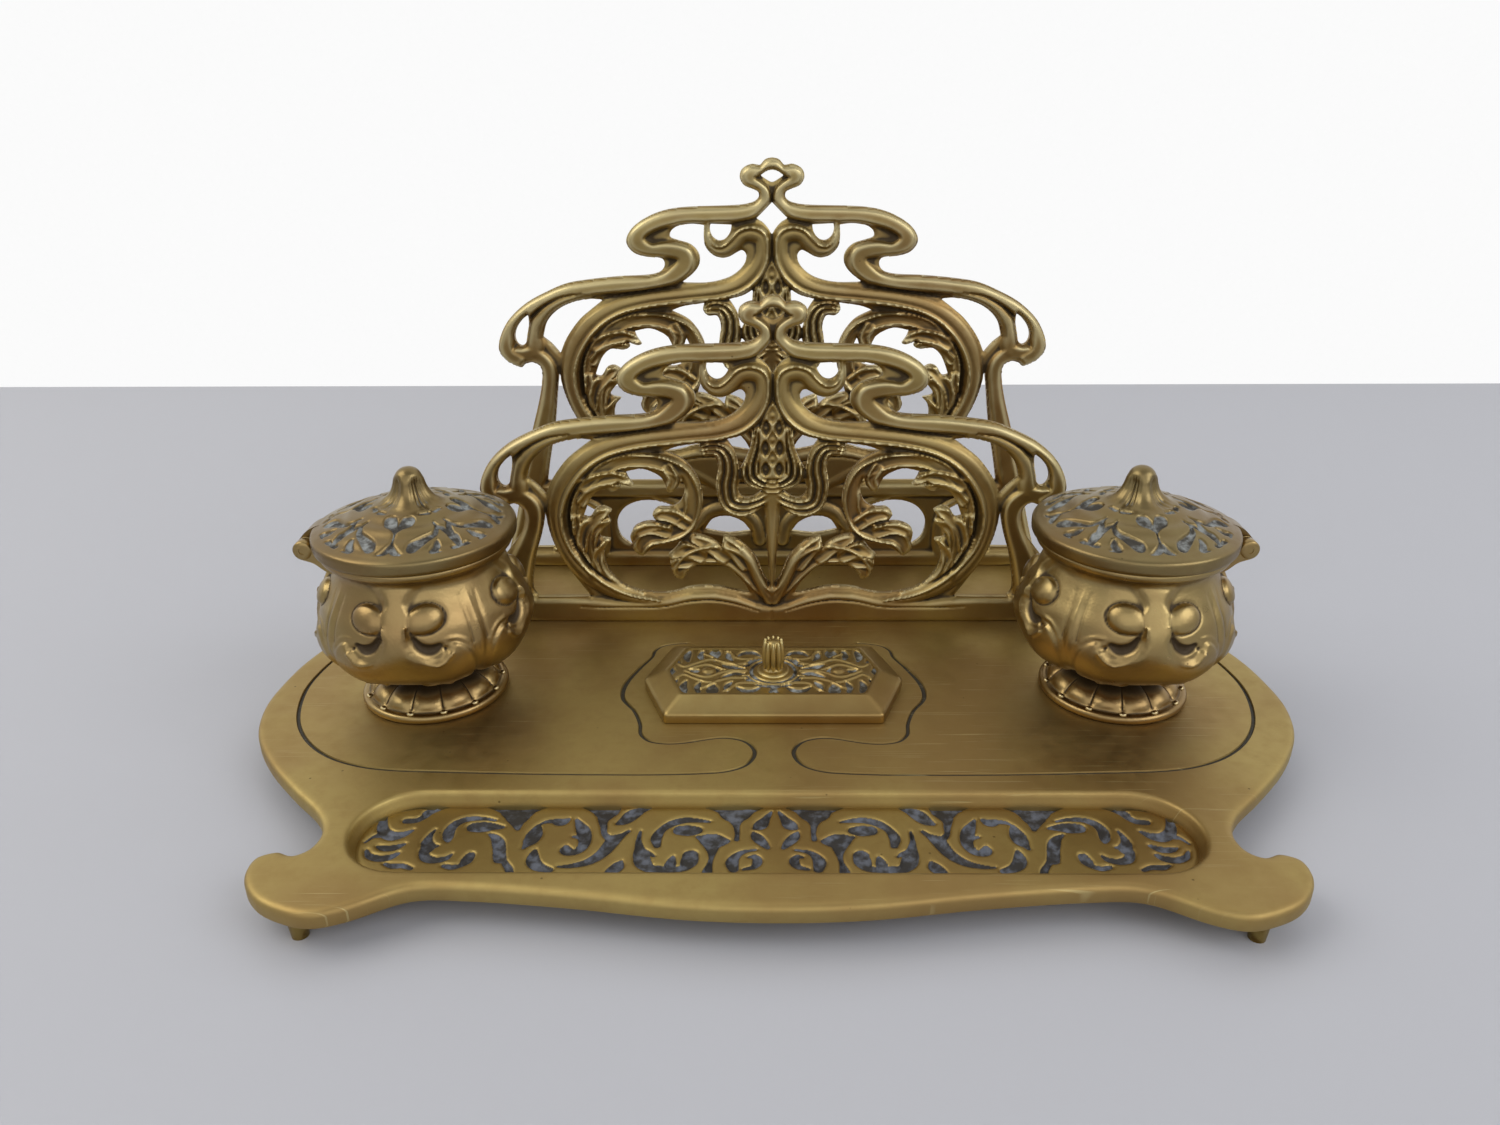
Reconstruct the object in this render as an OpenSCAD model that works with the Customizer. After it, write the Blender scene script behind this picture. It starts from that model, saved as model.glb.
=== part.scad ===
// Desk inkstand in cast brass: a footed tray with a pen channel and a stamp well, two lidded ink pots on
// pedestals, and a letter rack of two pierced scrollwork plates.

/* [Tray] */
// Overall width of the tray across its bellies
tray_w = 282; // [278:1:296]
// Overall depth of the tray
tray_d = 189; // [186:1:200]
// Height of the tray's top face above the table
tray_top = 11.6; // [11.4:0.2:14]
// Thickness of the tray's plate
plate_t = 2.4; // [2:0.2:3]
// Height of the tray's skirt, from the top face down
skirt_h = 4.6; // [4:0.2:6]
// Thickness of the skirt
skirt_t = 2.6; // [2:0.2:4]
// Width of the engraved line on the top face
line_w = 0.8; // [0.5:0.1:1]
// Depth of the engraved line
line_d = 0.5; // [0.3:0.1:0.8]
// Radius of a peg foot where it meets the tray
peg_r = 2.5; // [2:0.1:3]
// Radius of a peg foot's tenon
peg_tenon_r = 1.5; // [1.2:0.1:1.8]

/* [Pen channel] */
// Metal left between the channel's end and the notch behind the ear
pen_margin = 6.8; // [5:0.2:12]
// Width of the channel at the top face
pen_w = 29; // [26:0.5:30]
// Depth from the top face to the face of the scrollwork
pen_depth = 3.6; // [3:0.2:4.4]
// Height of the scrollwork over its sunk ground
pen_relief = 0.8; // [0.5:0.1:1.2]
// Run of the channel's sloping wall
pen_slope = 1.4; // [1:0.2:2]
// Wall of the pans that hang below the plate
pan_t = 1.6; // [1.2:0.2:2]

/* [Stamp box] */
// Width of the lid across its pointed ends
stamp_w = 73; // [70:1:78]
// Length of the lid's straight front edge
stamp_front = 59; // [54:1:62]
// Depth of the lid
stamp_d = 38; // [36:1:42]
// Height of the lid's upright rim
stamp_rim_h = 2.8; // [2.4:0.2:3.6]
// Height of the bevel over the rim
stamp_bevel_h = 2.9; // [2:0.1:3.6]
// Run of the bevel
stamp_bevel = 6; // [4:0.5:7]
// Depth of the stamp well below the top face
well_depth = 8.6; // [6:0.2:8.8]
// Width of the ledge that carries the lid round the well
well_ledge = 4; // [3:0.5:5]
// Radius of the stamp box's knob
knob_r = 3.3; // [2.8:0.1:3.8]
// Height of the stamp box's knob
knob_h = 10; // [8:0.5:12]

/* [Ink pots] */
// Distance from the tray's side to each pot's axis
pot_in = 45.6; // [42:0.2:48]
// Height of the pedestal
foot_h = 9.4; // [8.6:0.2:12]
// Greatest radius of the bowl
bowl_r = 28.4; // [26:0.2:31]
// Height of the bowl
bowl_h = 37.1; // [34:0.1:42]
// Thickness of the bowl's wall
bowl_wall = 2.4; // [2:0.2:2.8]
// How far the rim stands inside the bowl's greatest radius
rim_in = 3.4; // [3:0.2:4]
// Width of the rim from the mouth to its edge
rim_w = 4.4; // [4.2:0.2:5]
// Thickness of the glass liner's wall
glass_t = 2.4; // [1.8:0.2:3]
// Height of the lid's edge
lid_edge_h = 3.9; // [3.4:0.1:4.6]
// Height of the lid from its seat to the tip of its knob
lid_h = 19.9; // [18:0.1:23]
// Depth of the sunk pattern on the lid
lid_relief = 0.7; // [0.4:0.1:1]
// Radius of the lid's hinge barrel
barrel_r = 2.6; // [2.4:0.1:2.8]
// Length of the hinge barrel
barrel_l = 14; // [12:0.5:18]
// Radius of the hinge pin
pin_r = 0.95; // [0.8:0.05:1.2]
// Radius of the screw through the pedestal
bolt_r = 2; // [1.6:0.1:2.4]

/* [Letter rack] */
// Thickness of each pierced plate
rack_t = 3.4; // [2.8:0.2:4]
// Clear width of the slot between the plates
slot_w = 38.4; // [34:0.2:42]
// Height of the front plate
rack_h = 102.1; // [92:0.5:112]
// Depth of the lines and sunk fields that part the plate's strands
strand_d = 0.8; // [0.5:0.1:1.2]
// Radius of the screws that hold the rack
screw_r = 1.5; // [1.2:0.1:1.8]

/* [Hidden] */

half_w = tray_w / 2;
front_y = -tray_d / 2;
back_y = tray_d / 2;
// Outlines below are drawn for a tray of 282 by 189 and a front plate 102.1 high, and stretched to the sizes above.
wide = tray_w / 282;
deep = tray_d / 189;
tall = rack_h / 102.1;
function on_tray(v) = [for (p = v) [p.x * wide, front_y + p.y * deep]];
function on_rack(v) = [for (p = v) [p.x * wide, p.y * tall]];
// The pots and the stamp box stand on one line across the tray.
row = 92.1;
row_y = front_y + row * deep;
// Middle of the pen channel, and its length.
pen_y = front_y + 28.2 * deep;
pen_l = 2 * (105.8 * wide - pen_margin);
pot_x = half_w - pot_in;
// Front faces of the two plates of the rack.
rear_y = back_y - 15.4 * deep;
rack_y = rear_y - slot_w - rack_t;
under_plate = tray_top - plate_t;
skirt_z = tray_top - skirt_h;
// Gaps: between loose pieces, round a screw or a tenon, and between swinging faces.
loose = 0.4;
snug = 0.05;
swing = 0.3;
$fn = 64;

peg_places = on_tray([[104.5, 6.4], [94, 181]]);
peg_boss_r = peg_r + 2;
tenon_h = 3.2;

bowl_z = tray_top + foot_h;
seat_z = bowl_z + bowl_h;
bowl_floor = 6.4;
liner_step = 2;
flange_t = 1.7;
rim_r = bowl_r - rim_in;
mouth_r = rim_r - rim_w;
foot_r = 0.704 * bowl_r;
neck_r = 0.3 * bowl_r;
liner_r = mouth_r - loose;
flange_r = liner_r + 2;
bolt_head_h = 2.6;
washer_t = 0.8;
nut_t = 3;
hinge_x = rim_r + 3.4;
hinge_z = seat_z - 1.1;
lid_knuckle_l = barrel_l * 0.46;

well_inset = well_ledge;
stamp_top = stamp_rim_h + stamp_bevel_h;
stamp_wall = 1.8;
lip_t = 1.4;
lip_h = 2;
knob_shank_r = 1.5;

lug_r = 3.2;
lug_h = 6.6;
lug_x = [-62 * wide, 0, 62 * wide];
// The rear plate's scrollwork stands this much higher than the front one's, as drawn.
rise = 32.6;
screw_head_h = 1.8;
screw_in = 5.4;

// ---------------------------------------------------------------- curves

function flip(v) = [for (i = [len(v) - 1 : -1 : 0]) v[i]];
function mirrored(v) = [for (p = flip(v)) [-p.x, p.y]];
function shifted(v, d) = [for (p = v) [p.x, p.y + d]];
// A smooth step from b to c, with a and d as their neighbours.
function bend(a, b, c, d, t) = 0.5 * (2 * b + (c - a) * t + (2 * a - 5 * b + 4 * c - d) * t * t
  + (3 * b - a - 3 * c + d) * t * t * t);
// A curve through hand-picked points, without its last point.
function curve(p, n) = let (m = len(p) - 1)
  m < 2 ? [p[0]] : [for (i = [0 : m - 1]) for (k = [0 : n - 1])
    bend(p[max(i - 1, 0)], p[i], p[i + 1], p[min(i + 2, m)], k / n)];
// An outline of several curves that meet in corners.
function outline(pieces, n = 2) = [for (p = pieces) each curve(p, n)];
// One edge of a ribbon of width w along the points q, or of the width that each point gives.
function edge(q, s) = let (m = len(q) - 1) [for (i = [0 : m])
  let (a = q[max(i - 1, 0)], b = q[min(i + 1, m)], d = [b.x - a.x, b.y - a.y])
    [q[i].x, q[i].y] + s * q[i].z / 2 * [-d.y, d.x] / norm(d)];
function ribbon(p, n = 3) = let (q = concat(curve(p, n), [p[len(p) - 1]])) concat(edge(q, 1), flip(edge(q, -1)));
// A closed outline moved inwards by d; the outline runs anticlockwise.
function inset(v, d) = let (m = len(v)) [for (i = [0 : m - 1])
  let (a = v[(i + m - 1) % m], b = v[i], c = v[(i + 1) % m],
    u = (b - a) / norm(b - a), w = (c - b) / norm(c - b), k = 1 + u.x * w.x + u.y * w.y)
    b + d * [-u.y - w.y, u.x + w.x] / k];

module both_sides() { children(); mirror([1, 0, 0]) children(); }
module place_pot(s) translate([s * pot_x, row_y, 0]) mirror([s < 0 ? 1 : 0, 0, 0]) children();
module annulus(r, hole_r, h) difference() {
  cylinder(r = r, h = h);
  translate([0, 0, -1]) cylinder(r = hole_r, h = h + 2);
}

// ---------------------------------------------------------------- tray

// The right half of the tray's edge, from the middle of its front to the middle of its back: a bowed front,
// a hooked ear with a notch behind it, a round belly and a straight back.
tray_edge = [
  [[0, 2.1], [20, 3], [45, 6.4], [68, 8.6], [80, 8.3], [92, 2], [98.7, 0], [105, 1.2], [112.5, 5.2], [117.4, 12],
   [117.6, 18.4], [113.4, 20.8]],
  [[113.4, 20.8], [109.4, 19.6], [106.3, 22.2], [105.8, 28], [109.4, 34.6], [118.7, 44], [129, 55.5], [137, 68],
   [140.6, 80], [141, 91], [138.6, 108], [132, 126], [123, 144], [113, 161], [105, 177], [96, 186.6], [87, 189]],
  [[87, 189], [0, 189]]];
tray_outline = let (h = on_tray(outline(tray_edge))) concat(h, mirrored([for (i = [1 : len(h) - 1]) h[i]]));

// The engraved line: it frames the stamp box, turns under it and runs round behind the pot.
engraved = [[25, 118.3], [32, 117.1], [35.2, 114.7], [35.4, 110.5], [38.8, 102.9], [42, 93.7], [41.9, 86.1],
  [38.1, 79.5], [35.6, 72.1], [35.4, 66.1], [31.3, 63.5], [23.8, 64.1], [13.8, 66.5], [7.8, 64.9], [5, 59.9],
  [7.5, 53.9], [15, 50.9], [45, 50.1], [82.5, 51.1], [101.3, 52.5], [113, 56.7], [122, 64.1], [128.4, 74.1],
  [132, 87.1], [132.2, 98.1], [129, 112.1], [122, 125.1], [112, 133.1]];
module engraved_line() translate([0, 0, tray_top - line_d]) linear_extrude(1)
  polygon(ribbon([for (p = on_tray(engraved)) [p.x, p.y, line_w]], 2));

// Space of the pen channel: round-ended, with a wall that slopes in.
module pen_space(top_r, floor_r, h) {
  run = pen_l / 2 - pen_w / 2;
  both_sides() translate([run, 0, 0]) cylinder(r1 = floor_r, r2 = top_r, h = h);
  translate([-run, 0, 0]) rotate([90, 0, 90]) linear_extrude(2 * run)
    polygon([[-floor_r, 0], [floor_r, 0], [top_r, h], [-top_r, h]]);
}

// The scrollwork on the channel's floor: each scroll is [middle x, middle y, inner radius, width, start, sweep],
// laid out for the right half.
pen_scrolls = [[23.5, -2.4, 5.6, 2.8, -60, 250], [50.5, 0, 8.4, 3, 10, 300], [50.5, -1, 2.6, 3.2, 60, 240],
  [76, -1.6, 6.8, 3, -70, 260], [10.4, -6.5, 3, 2.6, 0, 180], [35.5, 5.8, 2.4, 2.4, 170, 200],
  [64, -4.6, 3.4, 2.4, 60, 170], [91, 3.6, 2, 2.4, 0, 220], [91, -4.4, 2, 2.4, 140, 220]];
module pen_relief() translate([0, pen_y, tray_top - pen_depth - pen_relief - 0.2]) intersection() {
  linear_extrude(pen_relief + 0.2) square([2 * pen_l, pen_w - 2 * pen_slope], center = true);
  both_sides() for (s = pen_scrolls) translate([s[0] * wide, s[1], 0]) rotate([0, 0, s[4]])
    rotate_extrude(angle = s[5], $fn = 24) translate([s[2], 0]) square([s[3], pen_relief + 0.2]);
}

stamp_shape = [[-stamp_front / 2, -stamp_d / 2], [stamp_front / 2, -stamp_d / 2], [stamp_w / 2, 0],
  [stamp_front / 2, stamp_d / 2], [-stamp_front / 2, stamp_d / 2], [-stamp_w / 2, 0]];

module tray_shell() {
  lip = 0.5;
  translate([0, 0, tray_top - lip]) linear_extrude(lip) polygon(inset(tray_outline, lip));
  translate([0, 0, under_plate]) linear_extrude(plate_t - lip) polygon(tray_outline);
  difference() {
    translate([0, 0, skirt_z]) linear_extrude(skirt_h - plate_t) polygon(tray_outline);
    translate([0, 0, skirt_z - 1]) linear_extrude(skirt_h - plate_t + 1) polygon(inset(tray_outline, skirt_t));
  }
  pen_pan_z = tray_top - pen_depth - pen_relief - pan_t;
  translate([0, pen_y, pen_pan_z])
    pen_space(pen_w / 2 + pan_t, pen_w / 2 + pan_t, under_plate - pen_pan_z);
  translate([0, row_y, tray_top - well_depth - pan_t]) linear_extrude(well_depth + pan_t - plate_t)
    polygon(inset(stamp_shape, well_inset - pan_t));
  both_sides() for (p = peg_places) translate([p.x, p.y, skirt_z]) cylinder(r = peg_boss_r, h = skirt_h - plate_t);
}

module tray() color("darkgoldenrod") {
  difference() {
    tray_shell();
    translate([0, pen_y, tray_top - pen_depth - pen_relief]) {
      pen_space(pen_w / 2, pen_w / 2 - pen_slope, pen_depth + pen_relief);
      translate([0, 0, pen_depth + pen_relief - 0.01]) pen_space(pen_w / 2, pen_w / 2, 1);
    }
    translate([0, row_y, tray_top - well_depth]) linear_extrude(well_depth + 1) polygon(inset(stamp_shape, well_inset));
    both_sides() {
      engraved_line();
      for (p = peg_places) translate([p.x, p.y, skirt_z - 1]) cylinder(r = peg_tenon_r + snug, h = tenon_h + 1 + snug);
      translate([pot_x, row_y, skirt_z]) cylinder(r = bolt_r + snug, h = skirt_h + 1);
    }
    for (y = [rack_y, rear_y]) for (x = lug_x)
      translate([x, y + rack_t, skirt_z]) cylinder(r = screw_r + snug, h = skirt_h + 1);
  }
  pen_relief();
}

// ---------------------------------------------------------------- peg feet

module peg(s, i) color("darkgoldenrod") translate([s * peg_places[i].x, peg_places[i].y, 0]) {
  cylinder(r1 = peg_r - 0.6, r2 = peg_r, h = skirt_z);
  translate([0, 0, skirt_z - 0.1]) cylinder(r = peg_tenon_r, h = tenon_h + 0.1);
}
module peg_front_left() peg(-1, 0);
module peg_front_right() peg(1, 0);
module peg_rear_left() peg(-1, 1);
module peg_rear_right() peg(1, 1);

// ---------------------------------------------------------------- letter rack

// Right half of the plate's outer edge, x from the middle and y up from the tray: a knopped crest, a ribbon
// that folds back on itself, and an outer lobe that hooks over the leg.
crest = [
  [[0, 102.1], [2, 101.6], [3.6, 99.9]],
  [[3.6, 99.9], [6.5, 100.2], [9.2, 98.7], [9.8, 96.5], [8.6, 94.3], [5.8, 93.1], [4.2, 92.2], [4.1, 90.6],
   [5.6, 89.3], [10, 88.4], [26.7, 87.8], [33, 86.9], [38.5, 84.9], [42.9, 82], [45, 79], [45, 76.6],
   [43.1, 74.3], [40, 73.2], [36.7, 72.9], [34.2, 72.4], [33.5, 70.6], [34.8, 68.5], [38.4, 67.4], [48, 66.9],
   [58, 65.9], [65, 64.7], [71.7, 62], [78.3, 58.5], [84, 53.5], [87.3, 47.8], [88, 43.5], [86, 40.3],
   [82.6, 38.4], [81, 38]]];
front_leg = [[[81, 38], [79.9, 39.1], [77.8, 39.4], [76, 37.8], [75.9, 34], [77.3, 29.5], [80.6, 25],
  [83.7, 20.7], [86.4, 14], [87.8, 7], [88, 0]], [[88, 0], [0, 0]]];
rear_leg = [[[81, 38], [79.9, 39.1], [77.4, 39.6], [75.2, 38.4], [74.8, 35], [76.2, 28], [79.8, 16],
  [83.6, 2], [88, -16], [93, -rise]], [[93, -rise], [0, -rise]]];

// Openings right through the plate, for the right half.
gap_hook = [[[12.4, 82.6], [12.9, 80.3], [14.6, 78.2], [16.6, 77.8], [18.4, 79], [19.2, 81.2], [19, 82.9]],
  [[19, 82.9], [12.4, 82.6]]];
gap_fold = [[[20.9, 82.6], [25, 82.9], [29, 82.3], [31.2, 80.8], [31.6, 78.9], [29, 77.9], [25.2, 76.6],
   [22.8, 74], [22.6, 71], [24.3, 68.3], [28.6, 64.9]],
  [[28.6, 64.9], [20, 64.9], [14, 66.3], [10.6, 68.3], [8.4, 71], [8, 73.6], [9.2, 74.9], [11, 74.2],
   [13.2, 73], [15.5, 72.6], [18.3, 73.5], [20.6, 76], [21.1, 79], [20.9, 82.6]]];
gap_shoulder = [[[53.4, 59.7], [58, 60], [63.5, 58.9], [68.3, 56.5], [72, 52.6], [73.6, 47.8]],
  [[73.6, 47.8], [71, 45.6], [68.4, 42.4]],
  [[68.4, 42.4], [65.9, 47.6], [61.5, 53.3], [57, 57], [53.4, 59.7]]];
gap_lobe = [[[77.6, 55.2], [79.6, 53.6], [81.8, 50.8], [82.6, 48], [82, 45.8], [80.6, 45], [79.2, 46],
  [78.5, 48.6], [77.8, 51.6], [77.6, 55.2]]];
gap_leg = [[[69, 37.6], [69.6, 34], [70.9, 29], [73, 22.7], [74.6, 14.8], [74.9, 10.6], [73.6, 8.3]],
  [[73.6, 8.3], [57, 8.3]], [[57, 8.3], [60.6, 13.8], [64.8, 20.6], [67.4, 27], [68.7, 33], [69, 37.6]]];
gap_petal = [[[5.9, 62.8], [9, 61], [13.6, 59.8]],
  [[13.6, 59.8], [12.4, 58], [10.9, 55.3], [10.2, 52], [9.8, 50]],
  [[9.8, 50], [8.3, 53], [6.5, 57.6], [5.9, 62.8]]];
gap_calyx = [[[9.6, 47.4], [10.3, 44.2], [9, 41.6], [5.9, 41.6], [2.9, 43.8]],
  [[2.9, 43.8], [5.4, 44.5], [7.8, 45.6], [9.6, 47.4]]];
gap_tulip = [[[32, 56.2], [28, 57.6], [21.4, 58.6]],
  [[21.4, 58.6], [21.8, 56.5], [20.3, 54.6], [17.4, 54.5], [16.2, 51.3], [16.7, 47.6], [16.9, 44],
   [15.2, 38.2], [11, 35.3], [6.2, 36], [2.5, 38.8]],
  [[2.5, 38.8], [0.8, 12.6]],
  [[0.8, 12.6], [2.5, 15.4], [4.7, 21], [7, 24.2], [9.8, 26.9], [14.8, 28.9]],
  [[14.8, 28.9], [15.5, 25.2]],
  [[15.5, 25.2], [17.8, 27.2], [21.6, 28.9], [24.2, 29.3]],
  [[24.2, 29.3], [22.8, 33.5], [21.2, 38.5], [21.1, 43], [22.5, 48], [26.4, 53.2], [32, 56.2]]];
gap_spiral = [
  [[33.2, 47.6], [35, 49], [39, 50.5], [44, 49.7]],
  [[44, 49.7], [43.4, 47.9], [41.7, 45.3]],
  [[41.7, 45.3], [44, 45.3], [46.3, 46.3]],
  [[46.3, 46.3], [45.7, 44.7], [47.7, 43.7], [51.7, 44], [54.3, 42], [56, 39], [57.5, 35.2]],
  [[57.5, 35.2], [55.5, 35], [53.5, 37.8], [51.3, 38.5], [48.8, 37.2]],
  [[48.8, 37.2], [50, 35.3], [49.3, 33.4], [51.2, 31.6], [52.9, 28.7], [49.4, 27.6]],
  [[49.4, 27.6], [51.2, 25.5], [51.9, 22], [50.9, 17.6], [47.8, 13.4], [43, 10.6], [36, 9.3], [31, 9.6],
   [25, 11.3], [18, 11.7], [12, 10.3], [7, 9.4]],
  [[7, 9.4], [8.6, 12.4], [11, 15.3], [13.7, 18], [17.7, 19.3], [21.7, 19.3], [25, 18], [28, 13.8]],
  [[28, 13.8], [30, 15], [31.2, 18], [31.5, 20.7], [32, 22.5]],
  [[32, 22.5], [29.8, 24.6], [28.4, 26.4], [27.2, 27.2]],
  [[27.2, 27.2], [32.3, 26], [36.3, 24.7], [40.2, 22]],
  [[40.2, 22], [42.2, 23.2], [43, 25.4], [42.4, 27.6], [43, 29.8], [41.7, 32], [38.3, 33.4], [35.2, 33.4]],
  [[35.2, 33.4], [36.4, 36], [34.5, 38.1], [31.5, 38.2], [28.6, 39.3], [26.8, 42], [26.4, 45], [27.4, 47.6]],
  [[27.4, 47.6], [28.3, 45], [30, 43.4], [31.6, 43.2], [32, 45], [33.2, 47.6]]];
// Openings on the middle line, given as their right halves from the top down.
gap_crest = [[[0, 98.7], [1.8, 98.2], [3.6, 97], [1.8, 95.8], [0, 95]]];
gap_waist = [[[0, 89.2], [2.2, 87], [4.9, 84.4], [2.6, 83], [0.9, 81], [0, 79.6]]];
side_gaps = [gap_hook, gap_fold, gap_shoulder, gap_lobe, gap_petal, gap_calyx, gap_tulip, gap_spiral];
// On the rear plate the opening beside the leg runs on under the scroll, down to a bar.
gap_rear_leg = [[[69, 37.6], [70.2, 30], [72, 18], [74.6, 6], [76, -1.4]], [[76, -1.4], [33, -1.4]],
  [[33, -1.4], [30.6, 0.6], [33, 4], [38, 5.6], [44, 5.8], [50, 7.4], [56.4, 11.2], [61.2, 16], [65, 21.8],
   [67.5, 28], [68.7, 33], [69, 37.6]]];

// Openings of the frieze under the rear plate's scrollwork, for the right half.
frieze_gaps = [
  [[[7, -20], [10, -16.4], [15, -14.4], [20, -15.4], [23, -19.4]], [[23, -19.4], [15, -20.8], [7, -20]]],
  [[[28, -17.6], [31, -12.4], [37, -9.2], [44, -8.6], [50, -11], [53, -16], [52, -22], [48, -25.6]],
   [[48, -25.6], [48.8, -21.6], [46, -18.2], [40, -16.6], [34, -17.6], [28, -17.6]]],
  [[[60, -12], [65, -9.6], [70, -9.4], [76, -10.6], [80.6, -14], [83, -22], [83.6, -26]],
   [[83.6, -26], [74, -25.6], [66, -23], [61.4, -18], [60, -12]]]];

// Lines and fields cut into the plate's face, which part its strands.
fields = [
  [[[32.4, 80.6], [34, 81.6], [37.4, 81], [38.8, 79.4], [37.4, 78.2], [33.4, 78.2], [32.4, 80.6]]],
  [[[4.6, 75.4], [6.2, 76], [7, 72.6], [9.2, 68.6], [12, 66.7], [8.4, 66.8], [5.2, 70.4], [4.6, 75.4]]]];
strands = [
  [[34, 55.9, 0.8], [41, 55.3, 1.3], [49, 52.9, 1.5], [56, 48, 1.5], [60.4, 41.5, 1.5], [61.8, 34, 1.6],
   [60.8, 27, 1.6], [57.4, 20.4, 1.5], [52, 15, 1.2], [46, 11.6, 0.7]],
  [[29.6, 64, 0.6], [36, 63.6, 0.9], [44, 62.3, 0.9], [52, 60.8, 0.6]],
  [[62, 62, 0.5], [68, 60.3, 0.8], [73.6, 57.6, 0.9], [76.4, 55.6, 0.5]],
  [[12, 85, 0.6], [20, 85.1, 0.7], [30, 84.8, 0.7], [36, 83.2, 0.5]],
  [[12, 62.9, 0.5], [20, 61.9, 0.7], [30, 61.1, 0.7], [41, 59.8, 0.7], [51, 57.6, 0.7], [58, 53.4, 0.7],
   [63.2, 46.6, 0.8], [65.6, 39, 0.8], [65.7, 31, 0.8], [63.2, 23.6, 0.7], [58.8, 17, 0.7], [53, 11.8, 0.5]],
  [[8.6, 19.4, 0.5], [12, 22.2, 0.7], [17, 23.6, 0.7], [22, 23.2, 0.7], [26.6, 21, 0.5]],
  [[24.3, 33, 0.5], [23.6, 39, 0.7], [24.2, 45, 0.7], [27.4, 50.2, 0.7], [33, 53.4, 0.7], [40, 53.3, 0.5]],
  [[72.8, 44, 0.5], [71.6, 38, 0.7], [72, 31, 0.7], [74.6, 24, 0.5]],
  [[14.6, 55.4, 0.5], [13.2, 51, 0.7], [13.8, 44.4, 0.7], [11.6, 39.6, 0.7], [7, 39, 0.5]],
  [[6.4, 55, 0.4], [5.4, 50.4, 0.6], [3.4, 47.4, 0.6], [0.8, 46.6, 0.4]],
  [[4, 4.4, 0.4], [11, 6.8, 0.7], [18, 8.2, 0.7], [26, 7.6, 0.7], [34, 5.8, 0.6], [48, 5.2, 0.6], [70, 5.6, 0.4]]];
// Seeds of the tulip's bud, as [x, y, radius].
seeds = [[1.6, 50.6, 1.1], [1.6, 54, 1], [1.6, 57.4, 1], [2, 61, 0.9], [1.7, 64.4, 0.8]];

module rack_plate(edge_pieces, gaps, up) {
  right = on_rack(outline(concat(crest, edge_pieces)));
  translate([0, rack_t, tray_top + up]) rotate([90, 0, 0]) difference() {
    linear_extrude(rack_t) polygon(concat(right, mirrored(right)));
    translate([0, 0, -1]) linear_extrude(rack_t + 2) {
      for (g = concat(side_gaps, gaps)) let (v = on_rack(outline(g))) { polygon(v); polygon(mirrored(v)); }
      for (g = [gap_crest, gap_waist]) let (v = on_rack(outline(g))) polygon(concat(v, flip(mirrored(flip(v)))));
    }
    translate([0, 0, rack_t - strand_d]) linear_extrude(strand_d + 1) {
      for (g = fields) let (v = on_rack(outline(g))) { polygon(v); polygon(mirrored(v)); }
      for (s = strands) let (v = on_rack(ribbon(s, 2))) { polygon(v); polygon(mirrored(v)); }
      for (s = seeds) for (k = [-1, 1]) translate([k * s[0] * wide, s[1] * tall]) circle(r = s[2], $fn = 16);
    }
  }
}
module rack_lugs() for (x = lug_x) translate([x, rack_t, tray_top]) difference() {
  cylinder(r = lug_r, h = lug_h);
  translate([0, 0, -1]) cylinder(r = screw_r + snug, h = screw_in + 1 + snug);
  translate([-lug_r - 1, -lug_r - 1, -1]) cube([2 * lug_r + 2, lug_r, lug_h + 2]);
}
module rack_front() color("peru") translate([0, rack_y, 0]) {
  difference() {
    rack_plate(front_leg, [gap_leg], 0);
    for (x = lug_x) translate([x, rack_t, tray_top - 1]) cylinder(r = screw_r + snug, h = screw_in + 1 + snug);
  }
  rack_lugs();
}
module rack_rear() color("peru") translate([0, rear_y, 0]) {
  difference() {
    rack_plate(rear_leg, concat([gap_rear_leg], frieze_gaps), rise * tall);
    for (x = lug_x) translate([x, rack_t, tray_top - 1]) cylinder(r = screw_r + snug, h = screw_in + 1 + snug);
  }
  rack_lugs();
}
module rack_screws(y) color("goldenrod") for (x = lug_x) translate([x, y + rack_t, 0]) {
  translate([0, 0, under_plate - 0.1]) cylinder(r = screw_r, h = plate_t + screw_in + 0.1);
  difference() {
    translate([0, 0, under_plate - screw_head_h]) cylinder(r = 2 * screw_r, h = screw_head_h);
    translate([-2.2 * screw_r, -0.35, under_plate - screw_head_h - 1]) cube([4.4 * screw_r, 0.7, 1.7]);
  }
}
module rack_front_screws() rack_screws(rack_y);
module rack_rear_screws() rack_screws(rear_y);

// ---------------------------------------------------------------- ink pots

// Drawn for a bowl 28.4 in radius and 37.1 high, and stretched.
function on_bowl(v, in = 0) = [for (p = v) [p.x * bowl_r / 28.4 - in, p.y * bowl_h / 37.1]];
bowl_profile = concat([[neck_r, 0]], on_bowl([[12, 0.9], [18, 3.1], [23.5, 5.6], [26.6, 8.6], [28.2, 12.6],
  [28.4, 16.6], [27.2, 21.5], [25, 26]]), [[rim_r - 2, bowl_h - 7], [rim_r - 2.7, bowl_h - 4.6],
  [rim_r - 1.6, bowl_h - 3], [rim_r, bowl_h - 1.8]]);
bowl_inside = concat(on_bowl([[24.8, 6.4], [27, 9.4], [28, 12.6], [28.4, 16.6], [27.2, 21.3], [24.8, 25.6]],
  bowl_wall), [[mouth_r, bowl_h - 7.4]]);
bowl_cavity = concat([[0, bowl_floor], [bowl_inside[0].x - 3, bowl_floor]], [for (p = curve(bowl_inside, 3))
  if (p.y > bowl_floor + 0.3) p]);
flutes = 12;
petals = 4;

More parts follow.
